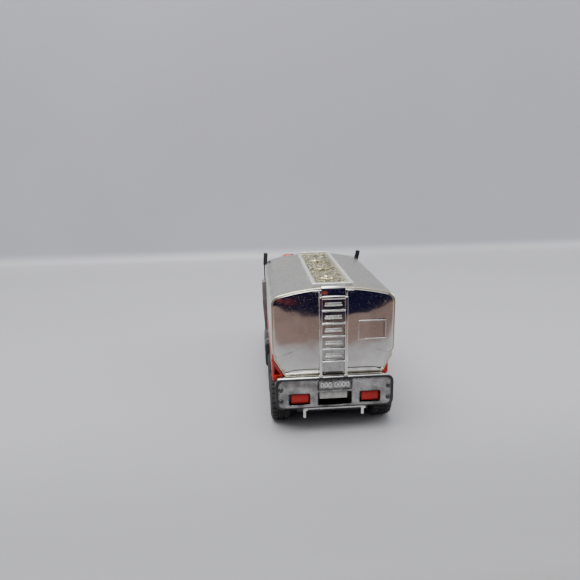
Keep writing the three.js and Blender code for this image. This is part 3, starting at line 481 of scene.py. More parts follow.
# The dome is fuller at the top than at the bottom, and its rings turn into ellipses towards its middle.
def domePoint(x, z, share):
    across, up = x / tankHalf, (z - tankMiddleZ) / (tankTopZ - tankMiddleZ)
    low = max(0, min(1, 0.5 - up))
    power = tank["domePower"] + tank["lowerPower"] * low * low * (3 - 2 * low)
    oval = (abs(across) ** 3 + abs(up) ** 3) ** (-1 / 3)
    turn = max(0, min(1, (0.94 - share) / 0.3))
    scale = share * (1 + (min(oval, 1.35) - 1) * turn)
    depth = 0.36 + 0.64 * (1 - (share / 0.95) ** power)
    return x * scale, tankMiddleZ + (z - tankMiddleZ) * scale, depth


# A shallow step along an arc low on the rear head.
def creaseAt(x, z, share):
    beyond = math.hypot(x, z - tank["creaseCentre"]) - tank["creaseRadius"]
    ramp = max(0, min(1, beyond / tank["creaseSoft"]))
    fade = max(0, min(1, (0.965 - share) / 0.04))
    return tank["creaseDepth"] * ramp * ramp * (3 - 2 * ramp) * fade


def tankBody():
    outline = tankOutline()
    count = len(outline)
    stations = headStations()
    rings = [(tankRearY, -1, share, depth) for share, depth in reversed(stations)]
    rings += [(tankFrontY, 1, share, depth) for share, depth in stations]
    points, edge = [], []
    for rimY, sign, share, depth in rings:
        for x, z in outline:
            if depth is None:
                px, pz, sink = domePoint(x, z, share)
            else:
                px, pz, sink = x * share, tankMiddleZ + (z - tankMiddleZ) * share, depth
            dip = creaseAt(px, pz, share) if sign < 0 else 0
            points.append((px, rimY + sign * (sink * tank["headDepth"] - dip), pz))
            edge.append(max(0, 1 - abs(sink - 0.2) / 0.16) if share > 0.95 else 0)
    faces = []
    for j in range(len(rings) - 1):
        for i in range(count):
            k = (i + 1) % count
            faces.append((j * count + i, j * count + k, (j + 1) * count + k, (j + 1) * count + i))
    last = (len(rings) - 1) * count
    for start, turn in ((0, -1), (last, 1)):
        points.append(tuple(sum(p[a] for p in points[start:start + count]) / count for a in range(3)))
        edge.append(0)
        tip = len(points) - 1
        for i in range(count):
            pair = (start + i, start + (i + 1) % count)
            faces.append((tip, *pair) if turn > 0 else (tip, *reversed(pair)))
    made = rawObject("tankBody", points, faces)
    turnOutwards(made)
    dress(made, headChrome, smoothAngle=50)
    layer = made.data.attributes.new("edge", "FLOAT", "POINT")
    layer.data.foreach_set("value", edge)
    made.data.materials.append(satinChrome["look"])
    for face in made.data.polygons:
        face.material_index = 0 if abs(face.normal.y) > 0.35 else 1
    gap = tank["troughGap"]
    trough = rectangle(trayLow.x - gap, trayHigh.x + gap, trayLow.y - gap, trayHigh.y + gap)
    combine(made, prism("trough", trough, "z", trayLow.z - tank["troughDrop"], tankTopZ + 3), "DIFFERENCE")
    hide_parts("tank_shell")


tankBody()

# A framed panel on the head, right of the ladder.
panel = {"right": 2.5, "width": 6.8, "drop": 8.15, "height": 4.9, "lip": 0.3}


def framedPanel():
    x1 = tankHalf - panel["right"]
    z1 = tankTopZ - panel["drop"]
    rim = rectangle(x1 - panel["width"], x1, z1 - panel["height"], z1, 0.35)
    lip = panel["lip"]
    hole = rectangle(x1 - panel["width"] + lip, x1 - lip, z1 - panel["height"] + lip, z1 - lip, 0.2)
    face = tankRearY - tank["headDepth"]
    plate("framedPanel", [rim, hole], "y", face - 0.02, face + 0.9, 0.1, headChrome)


framedPanel()
print("tank made")

# Walkway and hatches
tray = {"rim": 0.9, "floor": 0.35, "edge": 0.14, "treads": 0.7, "treadHeight": 0.1, "treadWidth": 0.2}


def walkway():
    rim, floorZ = tray["rim"], trayLow.z + tray["floor"]
    outer = rectangle(trayLow.x, trayHigh.x, trayLow.y, trayHigh.y, 0.5)
    inner = rectangle(trayLow.x + rim, trayHigh.x - rim, trayLow.y + rim, trayHigh.y - rim, 0.35)
    # The rim wears the brightened plating, a painted highlight.
    made = plate("walkwayRim", [outer, inner], "z", trayLow.z, trayHigh.z, tray["edge"], paintedHighlightChrome)
    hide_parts("walkway_tray")
    roundedBlocks("walkwayFloor",
                  [((trayLow.x + 0.5, trayLow.y + 0.5, trayLow.z),
                    (trayHigh.x - 0.5, trayHigh.y - 0.5, floorZ))],
                  0.05, trayFloor)
    half = trayHigh.x - rim - 0.5
    treads = []
    y = trayLow.y + rim + 0.7
    row = 0
    while y < trayHigh.y - rim - 0.5:
        for column in range(-5, 6):
            x = (column + 0.5 * (row % 2)) * tray["treads"]
            if abs(x) < half:
                size = tray["treadWidth"]
                treads.append(((x - size, y - size * 0.5, floorZ - 0.02),
                               (x + size, y + size * 0.5, floorZ + tray["treadHeight"])))
        y += tray["treads"] * 0.9
        row += 1
    roundedBlocks("walkwayTreads", treads, 0.06, trayFloor)


hatchShape = {"bolts": 10, "boltInset": 0.45, "boltHalf": 0.16}


def hatch(name):
    v = hatchShape
    low, high = nodeBox(name)
    middle = ((low.x + high.x) / 2, high.y - (high.x - low.x) / 2, low.z)
    radius = (high.x - low.x) / 2
    tall = high.z - low.z
    made = turned(f"{name}Lid", [
        (0, 0.02), (radius, 0.02), (radius, tall * 0.34), (radius - 0.1, tall * 0.5),
        (radius - 0.28, tall * 0.66),
        (radius - 0.62, tall * 0.66), (radius - 0.78, tall * 0.5), (radius - 0.85, tall * 0.42),
        (1.15, tall * 0.52), (1.05, tall * 0.8), (0.9, tall * 0.94), (0.5, tall), (0, tall),
    ], "z", middle, tarnish)
    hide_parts(name)
    bolts = []
    circle, half = radius - v["boltInset"], v["boltHalf"]
    for i in range(v["bolts"]):
        angle = 2 * math.pi * (i + 0.5) / v["bolts"]
        x, y = middle[0] + circle * math.cos(angle), middle[1] + circle * math.sin(angle)
        bolts.append(((x - half, y - half, low.z + tall * 0.5), (x + half, y + half, low.z + tall * 0.86)))
    bolts.append(((-0.42, low.y, low.z + 0.02), (0.42, middle[1] - radius + 0.5, low.z + tall * 0.72)))
    bolts.append(((-0.22, middle[1] - radius * 0.82, low.z + tall * 0.6),
                  (0.22, middle[1] + radius * 0.6, low.z + tall)))
    roundedBlocks(f"{name}Fittings", bolts, 0.07, tarnish)


walkway()
for place in ("rear", "middle", "front"):
    hatch(f"hatch_{place}")
print("walkway made")

# Ladder
ladder = {
    "rail": 0.68, "gap": 6.1, "shift": -0.3, "rungs": 5, "lowest": 3.9, "highest": 3.3, "rungHeight": 0.42,
    "edge": 0.16,
    "head": 2.2, "thick": 0.5, "tab": 1.8, "step": (2.15, 1.35, 0.95),
}
ladderLow, ladderHigh = nodeBox("rear_ladder")


def rearLadder():
    v = ladder
    middle, inner = v["shift"], v["gap"] / 2 - v["rail"] / 2
    left, right = middle - inner, middle + inner
    y0, y1 = ladderLow.y, ladderLow.y + v["rail"]
    bendZ, topZ = tankTopZ - v["head"], trayHigh.z
    low = ladderLow.z - 0.15 + v["lowest"]
    pitch = (bendZ - v["highest"] - low) / (v["rungs"] - 1)
    blocks, treads = [], []
    for i in range(v["rungs"]):
        z = low + i * pitch
        blocks.append(((left - 0.15, y0 + 0.03, z), (right + 0.15, y1 - 0.1, z + v["rungHeight"])))
        half, rise, tall = v["step"]
        treads.append(((middle - half, y1 - 0.28, z + rise - 0.12),
                       (middle + half, y1 + 0.25, z + rise + 0.33)))
        treads.append(((middle - half * 0.94, y1 - 0.22, z + rise + tall - 0.5),
                       (middle + half * 0.94, y1 + 0.25, z + rise + tall - 0.1)))
    for _, s in sides:  # rails, their feet on the bumper, and the tabs beside the head
        rail = middle + s * v["gap"] / 2
        blocks.append(((rail - v["rail"] / 2, y0, ladderLow.z), (rail + v["rail"] / 2, y1, bendZ + 0.3)))
        blocks.append(((rail - 0.28, y0 + 0.25, bendZ), (rail + 0.28, y1 + 0.35, topZ - 0.8)))
        blocks.append(((rail - 0.5, y0 - 0.02, ladderLow.z), (rail + 0.5, y1 + 0.1, ladderLow.z + 0.5)))
        x0, x1 = sorted((rail, rail + s * v["tab"]))
        blocks.append(((x0, y0 + 0.35, topZ - 1.27), (x1, y0 + 1.1, topZ - 0.83)))
    made = roundedBlocks("ladderRails", blocks, v["edge"], ladderChrome)
    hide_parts("rear_ladder")
    # The treads wear the brightened plating, a painted highlight.
    roundedBlocks("ladderTreads", treads, 0.22, paintedHighlightChrome)
    # The plate behind the rungs wears the darkened plating, a painted shade between the rails.
    roundedBlocks("ladderBack", [((left, y1 - 0.02, ladderLow.z + 1.2), (right, y1 + 0.22, bendZ))], 0.05,
                  shadedBackingChrome)
    lean, thick = 0.45, v["thick"]
    steps = [i / 10 for i in range(11)]
    outer = [(y0 + 0.05, bendZ)] + [
        ((y0 + lean) * (1 - t) ** 2 + 2 * (y0 + 0.6) * t * (1 - t) + (y0 + 1.5) * t ** 2,
         (topZ - 0.75) * (1 - t) ** 2 + topZ * (2 * t * (1 - t) + t ** 2)) for t in steps]
    under = [(y0 + thick, bendZ)]
    under += [(y + thick * (1 - t), z - thick * t) for (y, z), t in zip(outer[1:], steps)]
    outline = outer + [(ladderHigh.y, topZ), (ladderHigh.y, topZ - thick)] + under[::-1]
    sheet = prism("ladderHead", outline, "x", left - 0.1, right + 0.1)
    dress(softenEdges(sheet, 0.1, 2, 40), headChrome)
    roundedBlocks("ladderLip",
                  [((left - 0.1, y0 - 0.04, bendZ - 0.35), (right + 0.1, y0 + 0.6, bendZ + 0.55))], 0.26,
                  ladderChrome)


rearLadder()
print("ladder made")

# Rear bumper
bumper = {
    "wall": 1.1, "edge": 0.34, "corner": 1.2, "lamp": (6.1, 11.2, 1.05, 4.0),
    "centre": (-4.15, 4.15, 0.75, 4.2),
    "plate": (-4.15, 4.15, 3.1, 0.55), "lampProud": 0.35, "border": 0.72,
}
bumperLow, bumperHigh = nodeBox("rear_bumper")
bumperFaceY = bumperLow.y


def rearBumper():
    v = bumper
    x0, x1, z0, z1 = v["lamp"]
    inset = v["border"]
    outlines = [rectangle(bumperLow.x + inset, bumperHigh.x - inset, bumperLow.z + inset * 0.5,
                          bumperHigh.z - inset * 0.7,
                          v["corner"] + 0.2)]
    for _, s in sides:
        low, high = sorted((s * x0, s * x1))
        outlines.append(rectangle(low, high, bumperLow.z + z0, bumperLow.z + z1, 0.35))
    x0, x1, z0, z1 = v["centre"]
    outlines.append(rectangle(x0, x1, bumperLow.z + z0, bumperLow.z + z1, 0.4))
    x0, x1, drop, rise = v["plate"]
    outlines.append(rectangle(x0, x1, bumperHigh.z - drop, bumperHigh.z - rise, 0.35))
    made = plate("bumperFace", outlines, "y", bumperFaceY, bumperFaceY + v["wall"], v["edge"], wornPlating)
    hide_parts("rear_bumper")
    backY = tankRearY + 0.15
    top = bumperHigh.z
    ledge = [((bumperLow.x + 0.6, bumperFaceY + 0.5, top - 0.9), (bumperHigh.x - 0.6, backY, top + 0.12))]
    for _, s in sides:
        low, high = sorted((s * (bumperHigh.x - 1.0), s * (bumperHigh.x - 0.02)))
        ledge.append(((low, bumperFaceY + 0.45, bumperLow.z + 1.2), (high, backY + 0.2, top - 1.1)))
    roundedBlocks("bumperLedge", ledge[:1], 0.28, ladderChrome)
    roundedBlocks("bumperReturns", ledge[1:], 0.2, blackPlastic)
    border = [rectangle(bumperLow.x, bumperHigh.x, bumperLow.z + 0.05, bumperHigh.z - 0.1,
                        v["corner"] + 0.4), *outlines[1:]]
    plate("bumperBorder", border, "y", bumperFaceY + 0.07, bumperFaceY + v["wall"] + 0.1, 0.2, blackPlastic)
    back = bumperFaceY + v["wall"]
    roundedBlocks("bumperBacking", [
        ((bumperLow.x + 1, back - 0.05, bumperLow.z + 4.15), (bumperHigh.x - 1, back + 0.5, top - 0.9)),
        ((4.3, back - 0.05, bumperLow.z + 0.8), (bumperHigh.x - 1.2, back + 0.5, top - 0.9)),
        ((bumperLow.x + 1.2, back - 0.05, bumperLow.z + 0.8), (-4.3, back + 0.5, top - 0.9)),
    ], 0.1, blackPlastic)


def numberPlate():
    low, high = nodeBox("number_plate")
    rim = rectangle(low.x, high.x, low.z, high.z, 0.3)
    made = plate("numberPlateBase", [rim], "y", low.y + 0.03, high.y + 0.1, 0.05, wornPlating)
    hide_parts("number_plate")
    inner = rectangle(low.x + 0.22, high.x - 0.22, low.z + 0.22, high.z - 0.22, 0.2)
    plate("numberPlateRim", [rim, inner], "y", low.y - 0.08, high.y, 0.05, wornPlating)
    letters = bpy.data.curves.new("numberPlateDigits", "FONT")
    letters.body = "000 0000"
    letters.size = 0.0018
    letters.align_x = "CENTER"
    letters.align_y = "CENTER"
    letters.extrude = 0.00007
    letters.bevel_depth = 0.00003
    holder = bpy.data.objects.new("digits", letters)
    bpy.context.scene.collection.objects.link(holder)
    bpy.context.view_layer.update()
    mesh = bpy.data.meshes.new_from_object(holder.evaluated_get(bpy.context.evaluated_depsgraph_get()))
    bpy.data.objects.remove(holder)
    middle = Vector(((low.x + high.x) / 2, low.y, (low.z + high.z) / 2)) / 1000
    upright = Matrix.Rotation(math.radians(90), 4, "X")
    mesh.transform(Matrix.Translation(middle) @ upright @ Matrix.Diagonal((1.05, 1.0, 1, 1)))
    made = bpy.data.objects.new("numberPlateDigits", mesh)
    bpy.context.scene.collection.objects.link(made)
    dress(made, ladderChrome)


def tailLamp(side):
    low, high = nodeBox(f"tail_lamp_{side}")
    rim = rectangle(low.x, high.x, low.z, high.z, 0.35)
    made = plate(f"tailLens_{side}", [rim], "y", low.y, high.y, 0.3, redLens)
    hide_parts(f"tail_lamp_{side}")
    lip = [((low.x + 0.1, low.y + 0.15, low.z - 0.16), (high.x - 0.1, high.y, low.z + 0.2))]
    roundedBlocks(f"tailLampLip_{side}", lip, 0.08, redLens)


def cornerLamp(name):
    low, high = nodeBox(name)
    radius = (high.x - low.x) / 2
    middle = ((low.x + high.x) / 2, bumperFaceY, (low.z + high.z) / 2)
    made = turned(f"{name}Dome", [
        (0, -bumper["lampProud"]), (radius * 0.35, -0.32), (radius * 0.6, -0.26), (radius * 0.76, -0.16),
        (radius * 0.82, -0.03), (radius * 0.86, -0.1), (radius * 0.95, -0.1), (radius, -0.02),
        (radius, 0.34), (0, 0.34),
    ], "y", middle, darkLens, smoothAngle=60)
    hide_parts(name)


rearBumper()
numberPlate()
for side, _ in sides:
    tailLamp(side)
    for row in ("lower", "upper"):
        cornerLamp(f"corner_lamp_{row}_{side}")
print("bumper made")

# Running gear
tyreShape = {"segments": 120, "rib": 0.12, "groove": 0.34, "blocks": 30, "shoulder": 0.85}


def tyre(name, sign, body):
    v = tyreShape
    low, high = nodeBox(name)
    half = (high.x - low.x) / 2
    middle = (low + high) / 2
    outer = (high.z - low.z) / 2
    bore = 3.72
    tread = half - v["shoulder"]
    profile = [
        (bore, -half + 0.25, 0), (bore + 0.25, -half, 0), (bore + 0.7, -half + 0.05, 0),
        (bore + 0.8, -half + v["rib"], 0),
        (bore + 0.95, -half + v["rib"], 0), (bore + 1.05, -half + 0.03, 0), (outer - 0.85, -half + 0.1, 0),
        (outer - 0.3, -half + 0.35, 0), (outer, -tread, 1), (outer, -tread + 0.9, 1),
        (outer - 0.3, -tread + 1.0, 0),
        (outer - 0.3, -tread + 1.15, 0), (outer, -tread + 1.25, 2), (outer, -0.1, 2), (outer - 0.3, -0.06, 0),
    ]
    profile += [(radius, -along, {1: 2, 2: 1, 0: 0}[kind]) for radius, along, kind in reversed(profile)]
    points, faces = [], []
    count = v["segments"]
    per = count // v["blocks"]
    for radius, along, kind in profile:
        for i in range(count):
            phase = (i + (2 if kind == 2 else 0)) % per
            r = radius - (v["groove"] if kind and phase == 0 else 0)
            angle = 2 * math.pi * i / count
            points.append((middle.x + sign * along, middle.y + r * math.cos(angle),
                           middle.z + r * math.sin(angle)))
    rows = len(profile)
    for j in range(rows):
        for i in range(count):
            k, m = (i + 1) % count, (j + 1) % rows
            faces.append((j * count + i, j * count + k, m * count + k, m * count + i))
    made = rawObject(f"{name}Tread", points, faces)
    turnOutwards(made)
    dress(made, tyreRubber, body, 30)
    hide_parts(name)


hubShape = {"nuts": 8, "nutCircle": 1.95, "nutHalf": 0.2}


def hub(name, sign, body):
    v = hubShape
    low, high = nodeBox(name)
    middle = (low + high) / 2
    half = (high.x - low.x) / 2
    radius = (high.z - low.z) / 2
    profile = [
        (0.62, -half), (radius - 0.1, -half), (radius, -half + 0.2), (radius, half - 0.35),
        (radius - 0.15, half - 0.1),
        (radius - 0.35, half - 0.05), (radius - 0.55, half - 0.3), (radius - 0.75, half - 1.0),
        (2.3, half - 1.3),
        (1.95, half - 1.15), (1.5, half - 1.05), (1.35, half - 0.5), (1.15, half - 0.15), (0.85, half - 0.1),
        (0.62, half - 0.12),
    ]
    made = turned(f"{name}Dish", [(r, sign * a) for r, a in profile], "x", middle, hubPlating, body, 64)
    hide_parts(name)
    nuts = []
    size = v["nutHalf"]
    for i in range(v["nuts"]):
        angle = 2 * math.pi * i / v["nuts"]
        y, z = middle.y + v["nutCircle"] * math.cos(angle), middle.z + v["nutCircle"] * math.sin(angle)
        x0, x1 = sorted((middle.x + sign * (half - 1.3), middle.x + sign * (half - 0.75)))
        nuts.append(((x0, y - size, z - size), (x1, y + size, z + size)))
    roundedBlocks(f"{name}Nuts", nuts, 0.08, hubPlating, body)


for place in ("rear", "middle", "front"):
    body = f"wheelset_{place}"
    for side, sign in sides:
        tyre(f"tyre_{place}_{side}", sign, body)
        hub(f"hub_{place}_{side}", sign, body)
    low, high = nodeBox(f"axle_{place}")
    radius = (high.z - low.z) / 2
    rod = [(0, low.x), (radius * 0.75, low.x), (radius, low.x + 0.14), (radius, high.x - 0.14),
           (radius * 0.75, high.x), (0, high.x)]
    made = turned(f"axle_{place}Rod", rod, "x", (0, (low.y + high.y) / 2, (low.z + high.z) / 2), axleSteel,
                  body, 32)
    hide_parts(f"axle_{place}")
print("running gear made")

# Cab
cab = {
    "belt": 24.2, "roofWidth": 22.4, "vent": (-7.6, 1.5, 0.6), "rake": 2.6, "bonnetWidth": 17,
    "bonnetDrop": 11.8, "wingDrop": 16.6, "wall": 0.9,
    "screenFoot": 12, "edge": 0.28, "grille": (6.2, 14.4, 20.6), "archGap": 1.0, "ventCount": 5,
    "ventPitch": 1.1, "lineWidth": 0.14,
    "lineDepth": 0.16,
}
cabLow, cabHigh = nodeBox("cab_shell")
cabBackY, bonnetFrontY, cabFloorZ, cabHalf = cabLow.y, cabHigh.y, cabLow.z, cabHigh.x
roofZ = cabHigh.z - cab["vent"][2] + 0.3
screenFootY = cabBackY + cab["screenFoot"]
bonnetTopZ, wingTopZ = roofZ - cab["bonnetDrop"], roofZ - cab["wingDrop"]


def cabSide(inset):
    low = cabFloorZ - (2 if inset else 0)
    return roundedOutline([
        (cabBackY + inset, low), (bonnetFrontY - inset, low),
        (bonnetFrontY - inset, bonnetTopZ - 1.6 - inset, 1.6),
        (bonnetFrontY - 2.5 - inset, bonnetTopZ - inset, 2),
        (screenFootY - inset * 0.5, cab["belt"] - inset, 0.4),
        (screenFootY - cab["rake"] - inset, roofZ - 0.9 - inset, 1.8), (cabBackY + inset, roofZ - inset, 1.4),
    ], 8)


def cabSection(inset):
    half, roofHalf, top = cabHalf - inset, cab["roofWidth"] / 2 - inset, roofZ - inset
    low = cabFloorZ - (2 if inset else 0)
    right = [
        (half, low), (half, cab["belt"] - 0.55, 0.55), (half - 1.0, cab["belt"], 0.5),
        (roofHalf, top - 3.4, 1.2),
        (roofHalf - 1.0, top - 1.5, 1.6), (roofHalf - 4.4, top - 0.42, 3),
    ]
    left = [(-x, *rest) for x, *rest in reversed(right)]
    return roundedOutline([*right, (0, top + 0.02, 6), *left], 8)


def cabVolume(name, inset):
    low = cabFloorZ - (2 if inset else 0)
    half, bonnetHalf = cabHalf - inset, cab["bonnetWidth"] / 2 - inset
    body = prism(name, cabSection(inset), "y", cabBackY + inset, screenFootY + 0.4 - inset)
    bonnet = roundedOutline([(-bonnetHalf, low), (bonnetHalf, low),
                             (bonnetHalf - 0.5, bonnetTopZ - inset, 2.4),
                             (-bonnetHalf + 0.5, bonnetTopZ - inset, 2.4)], 8)
    combine(body, prism("bonnet", bonnet, "y", screenFootY - 2, bonnetFrontY + 1), "UNION")
    wings = roundedOutline([(-half, low), (half, low), (half, wingTopZ - inset, 1.5),
                            (-half, wingTopZ - inset, 1.5)], 8)
    combine(body, prism("wings", wings, "y", screenFootY - 2.01, bonnetFrontY - 1.4 - inset), "UNION")
    return combine(body, prism("side", cabSide(inset), "x", -farSide, farSide), "INTERSECT")


def sideGlassOutline(grow=0.0):
    sill, head = cab["belt"] + 0.9 - grow, roofZ - 4.1 + grow
    return roundedOutline([(cabBackY + 1.7 - grow, sill, 0.6), (screenFootY - 2.1 + grow, sill, 0.6),
                           (screenFootY - cab["rake"] - 1.7 + grow, head, 0.8),
                           (cabBackY + 1.7 - grow, head, 0.8)], 6)


def screenOutline(grow=0.0):
    half = cab["roofWidth"] / 2 - 1.9 + grow
    sill, head = cab["belt"] + 0.9 - grow, roofZ - 3.8 + grow
    return roundedOutline([(-half - 0.7, sill, 0.6), (half + 0.7, sill, 0.6), (half, head, 0.9),
                           (-half, head, 0.9)], 6)


def cabBody():
    v = cab
    body = combine(cabVolume("cabBody", 0), cabVolume("cabHollow", v["wall"]), "DIFFERENCE")
    combine(body, prism("sideGlass", sideGlassOutline(), "x", -farSide, farSide), "DIFFERENCE")
    combine(body, prism("screen", screenOutline(), "y", (cabBackY + screenFootY) / 2, screenFootY + 2),
            "DIFFERENCE")
    paneHalf = v["roofWidth"] / 2 - 3.9
    pane = rectangle(-paneHalf, paneHalf, v["belt"] + 2.1, roofZ - 4.1, 0.8)
    combine(body, prism("rearPane", pane, "y", cabBackY - 1, (cabBackY + screenFootY) / 2), "DIFFERENCE")
    wheelLow, wheelHigh = nodeBox("tyre_front_right")
    wheelY, wheelZ = (wheelLow.y + wheelHigh.y) / 2, (wheelLow.z + wheelHigh.z) / 2
    radius = wheelZ + v["archGap"]
    arch = arc(wheelY, wheelZ, radius, 0, 2 * math.pi, 72)[:-1]
    for _, s in sides:
        near, far = sorted((s * (wheelLow.x - 1.8), s * farSide))
        combine(body, prism("arch", arch, "x", near, far), "DIFFERENCE")
    half, z0, z1 = v["grille"]
    hole = rectangle(-half, half, z0, z1, 0.5)
    combine(body, prism("grilleHole", hole, "y", bonnetFrontY - 2.5, bonnetFrontY + 2), "DIFFERENCE")
    frameLow, frameHigh = nodeBox("chassis_frame")
    notch = rectangle(frameLow.x - 0.15, frameHigh.x + 0.15, 0, frameHigh.z + 0.15)
    combine(body, prism("notch", notch, "y", cabBackY - 1, cabBackY + 2), "DIFFERENCE")
    line, cut = v["lineWidth"], v["lineDepth"]
    doorFront, doorBack = screenFootY - 1.0, cabBackY + 0.9
    door = [  # the gaps round the doors, then the bonnet's edge
        (doorBack, doorBack + line, cabFloorZ - 1, v["belt"] + 0.2),
        (doorFront, doorFront + line, cabFloorZ + 5, v["belt"] + 0.2),
        (doorBack, doorFront + line, cabFloorZ + 1.2, cabFloorZ + 1.2 + line),
    ]
    for _, s in sides:
        for y0, y1, z0, z1 in door:
            near, far = sorted((s * (cabHalf - cut), s * farSide))
            combine(body, prism("gap", rectangle(y0, y1, z0, z1), "x", near, far), "DIFFERENCE")
        near, far = sorted((s * (v["bonnetWidth"] / 2 - cut - 0.2), s * (v["bonnetWidth"] / 2 + 2)))
        seam = rectangle(screenFootY + 0.8, bonnetFrontY + 1, bonnetTopZ - 2.9, bonnetTopZ - 2.9 + line)
        combine(body, prism("seam", seam, "x", near, far), "DIFFERENCE")
    dress(softenEdges(body, v["edge"] * 0.3, 2, 34), redPaint, smoothAngle=34)
    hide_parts("cab_shell")


def cabTrim():
    v = cab
    for _, s in sides:
        near, far = sorted((s * (cabHalf - 0.15), s * (cabHalf + 0.3)))
        handle = [((near, cabBackY + 2.0, v["belt"] - 2.3), (far, cabBackY + 4.2, v["belt"] - 1.8))]
        handle.append(((near, cabBackY + 5, cabFloorZ - 0.1), (far, screenFootY - 2.5, cabFloorZ + 0.5)))
        roundedBlocks(f"doorFittings_{s}", handle, 0.1, wornPlating)
        near, far = sorted((s * (v["bonnetWidth"] / 2 - 0.75), s * (v["bonnetWidth"] / 2 + 0.12)))
        vents = []
        for i in range(v["ventCount"]):
            y = screenFootY + 2.5 + v["ventPitch"] * i
            vents.append(((near, y, bonnetTopZ - 4.3), (far, y + 0.45, bonnetTopZ - 3.4)))
        roundedBlocks(f"bonnetVents_{s}", vents, 0.12, blackPlastic)
        wiper = 2.6 * s
        z0 = v["belt"] + 0.75
        roundedBlocks(f"wiper_{s}", [
            ((wiper - 0.14, screenFootY - 0.55, z0), (wiper + 0.14, screenFootY - 0.2, z0 + 0.5)),
            ((wiper - 1.9, screenFootY - 0.95, z0 + 0.55), (wiper + 1.9, screenFootY - 0.7, z0 + 0.75),
             -16 * s),
        ], 0.07, blackPlastic)
    x, radius, tall = v["vent"]
    turned("roofVent", [
        (0, -0.9), (radius, -0.9), (radius, tall * 0.2), (radius * 0.94, tall * 0.45),
        (radius * 0.8, tall * 0.68),
        (radius * 0.55, tall * 0.87), (radius * 0.28, tall * 0.97), (0, tall),
    ], "z", (x, cabBackY + 4.5, roofZ - 0.3), redPaint)
    markers = [((x - 0.6, screenFootY - v["rake"] - 3.0, roofZ - 0.75),
                (x + 0.6, screenFootY - v["rake"] - 2.2, roofZ - 0.12))
               for x in (-6, 0, 6)]
    roundedBlocks("roofMarkers", markers, 0.15, redLens)
    rim = roundedOutline([(x, z) for x, z in screenOutline(0.28)], 1)
    seal = prism("screenSeal", rim, "y", screenFootY - 6, screenFootY + 2)
    combine(seal, prism("sealHole", screenOutline(-0.12), "y", screenFootY - 8, screenFootY + 4),
            "DIFFERENCE")
    combine(seal, prism("sealSide", [
        (screenFootY - 0.2, v["belt"] - 1), (screenFootY + 0.14, v["belt"] - 1),
        (screenFootY - v["rake"] + 0.16, roofZ - 0.9),
        (screenFootY - v["rake"] - 0.3, roofZ - 0.9)], "x", -farSide, farSide), "INTERSECT")
    dress(seal, blackPlastic)


grilleShape = {"bars": 9, "barHalf": 0.13, "frame": 0.55}


def grille():
    v = grilleShape
    low, high = nodeBox("front_grille")
    rim = rectangle(low.x, high.x, low.z, high.z, 0.6)
    frameWidth = v["frame"]
    inner = rectangle(low.x + frameWidth, high.x - frameWidth, low.z + frameWidth, high.z - frameWidth, 0.3)
    made = plate("grilleSurround", [rim, inner], "y", low.y + 0.3, high.y, 0.18, wornPlating)
    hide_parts("front_grille")
    bars = []
    for i in range(v["bars"]):
        z = low.z + 0.75 + (high.z - low.z - 1.5) * i / (v["bars"] - 1)
        bars.append(((low.x + 0.3, low.y + 0.4, z - v["barHalf"]),
                     (high.x - 0.3, high.y - 0.1, z + v["barHalf"])))
    bars.append(((-0.25, low.y + 0.4, low.z + 0.4), (0.25, high.y - 0.03, high.z - 0.4)))
    roundedBlocks("grilleBars", bars, 0.07, wornPlating)
    roundedBlocks("radiator",
                  [((low.x + 0.1, low.y, low.z + 0.1), (high.x - 0.1, low.y + 0.35, high.z - 0.1))], 0.05,
                  blackPlastic)


def headlamp(side):
    low, high = nodeBox(f"headlamp_{side}")
    middle = ((low.x + high.x) / 2, low.y, (low.z + high.z) / 2)
    r, deep = (high.x - low.x) / 2, high.y - low.y
    made = turned(f"headlampGlass_{side}", [
        (0, deep), (r * 0.3, deep - 0.02), (r * 0.55, deep - 0.1), (r * 0.72, deep - 0.25),
        (r * 0.8, deep - 0.45), (r * 0.8, 0.1), (0, 0.1),
    ], "y", middle, clearPlastic, smoothAngle=60)
    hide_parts(f"headlamp_{side}")
    turned(f"headlampRing_{side}", [
        (r * 0.78, 0.05), (r, 0.05), (r, deep - 0.55), (r * 0.95, deep - 0.38), (r * 0.86, deep - 0.36),
        (r * 0.79, deep - 0.5), (r * 0.78, 0.05),
    ], "y", middle, wornPlating)


frontBar = {"depth": 1.3, "wall": 1.0, "lampX": 10, "lampHalf": 1.3}


def frontBumper():
    v = frontBar
    low, high = nodeBox("front_bumper")
    y1 = high.y - v["depth"]
    outline = roundedOutline([
        (low.x, low.y, 0.4), (low.x + v["wall"], low.y, 0.4), (low.x + v["wall"], y1, 0.6),
        (high.x - v["wall"], y1, 0.6),
        (high.x - v["wall"], low.y, 0.4), (high.x, low.y, 0.4), (high.x, high.y, 1.8), (low.x, high.y, 1.8)],
        8)
    made = plate("frontBumperBar", [outline], "z", low.z, high.z, 0.25, wornPlating)
    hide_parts("front_bumper")
    lamps = []
    for _, s in sides:
        x, half = s * v["lampX"], v["lampHalf"]
        lamps.append(((x - half, high.y - 0.25, low.z + 1.0), (x + half, high.y, low.z + 2.0)))
    roundedBlocks("frontBumperLamps", lamps, 0.1, clearPlastic)
    roundedBlocks("frontNumberPlate", [((-3.4, high.y - 0.2, low.z + 0.6), (3.4, high.y, low.z + 2.4))],
                  0.08, blackPlastic)


mirrorShape = {"width": 1.3, "height": 3.9, "depth": 0.8, "lean": {"left": 4, "right": 12},
               "x": {"left": 15.05, "right": 14.65}}


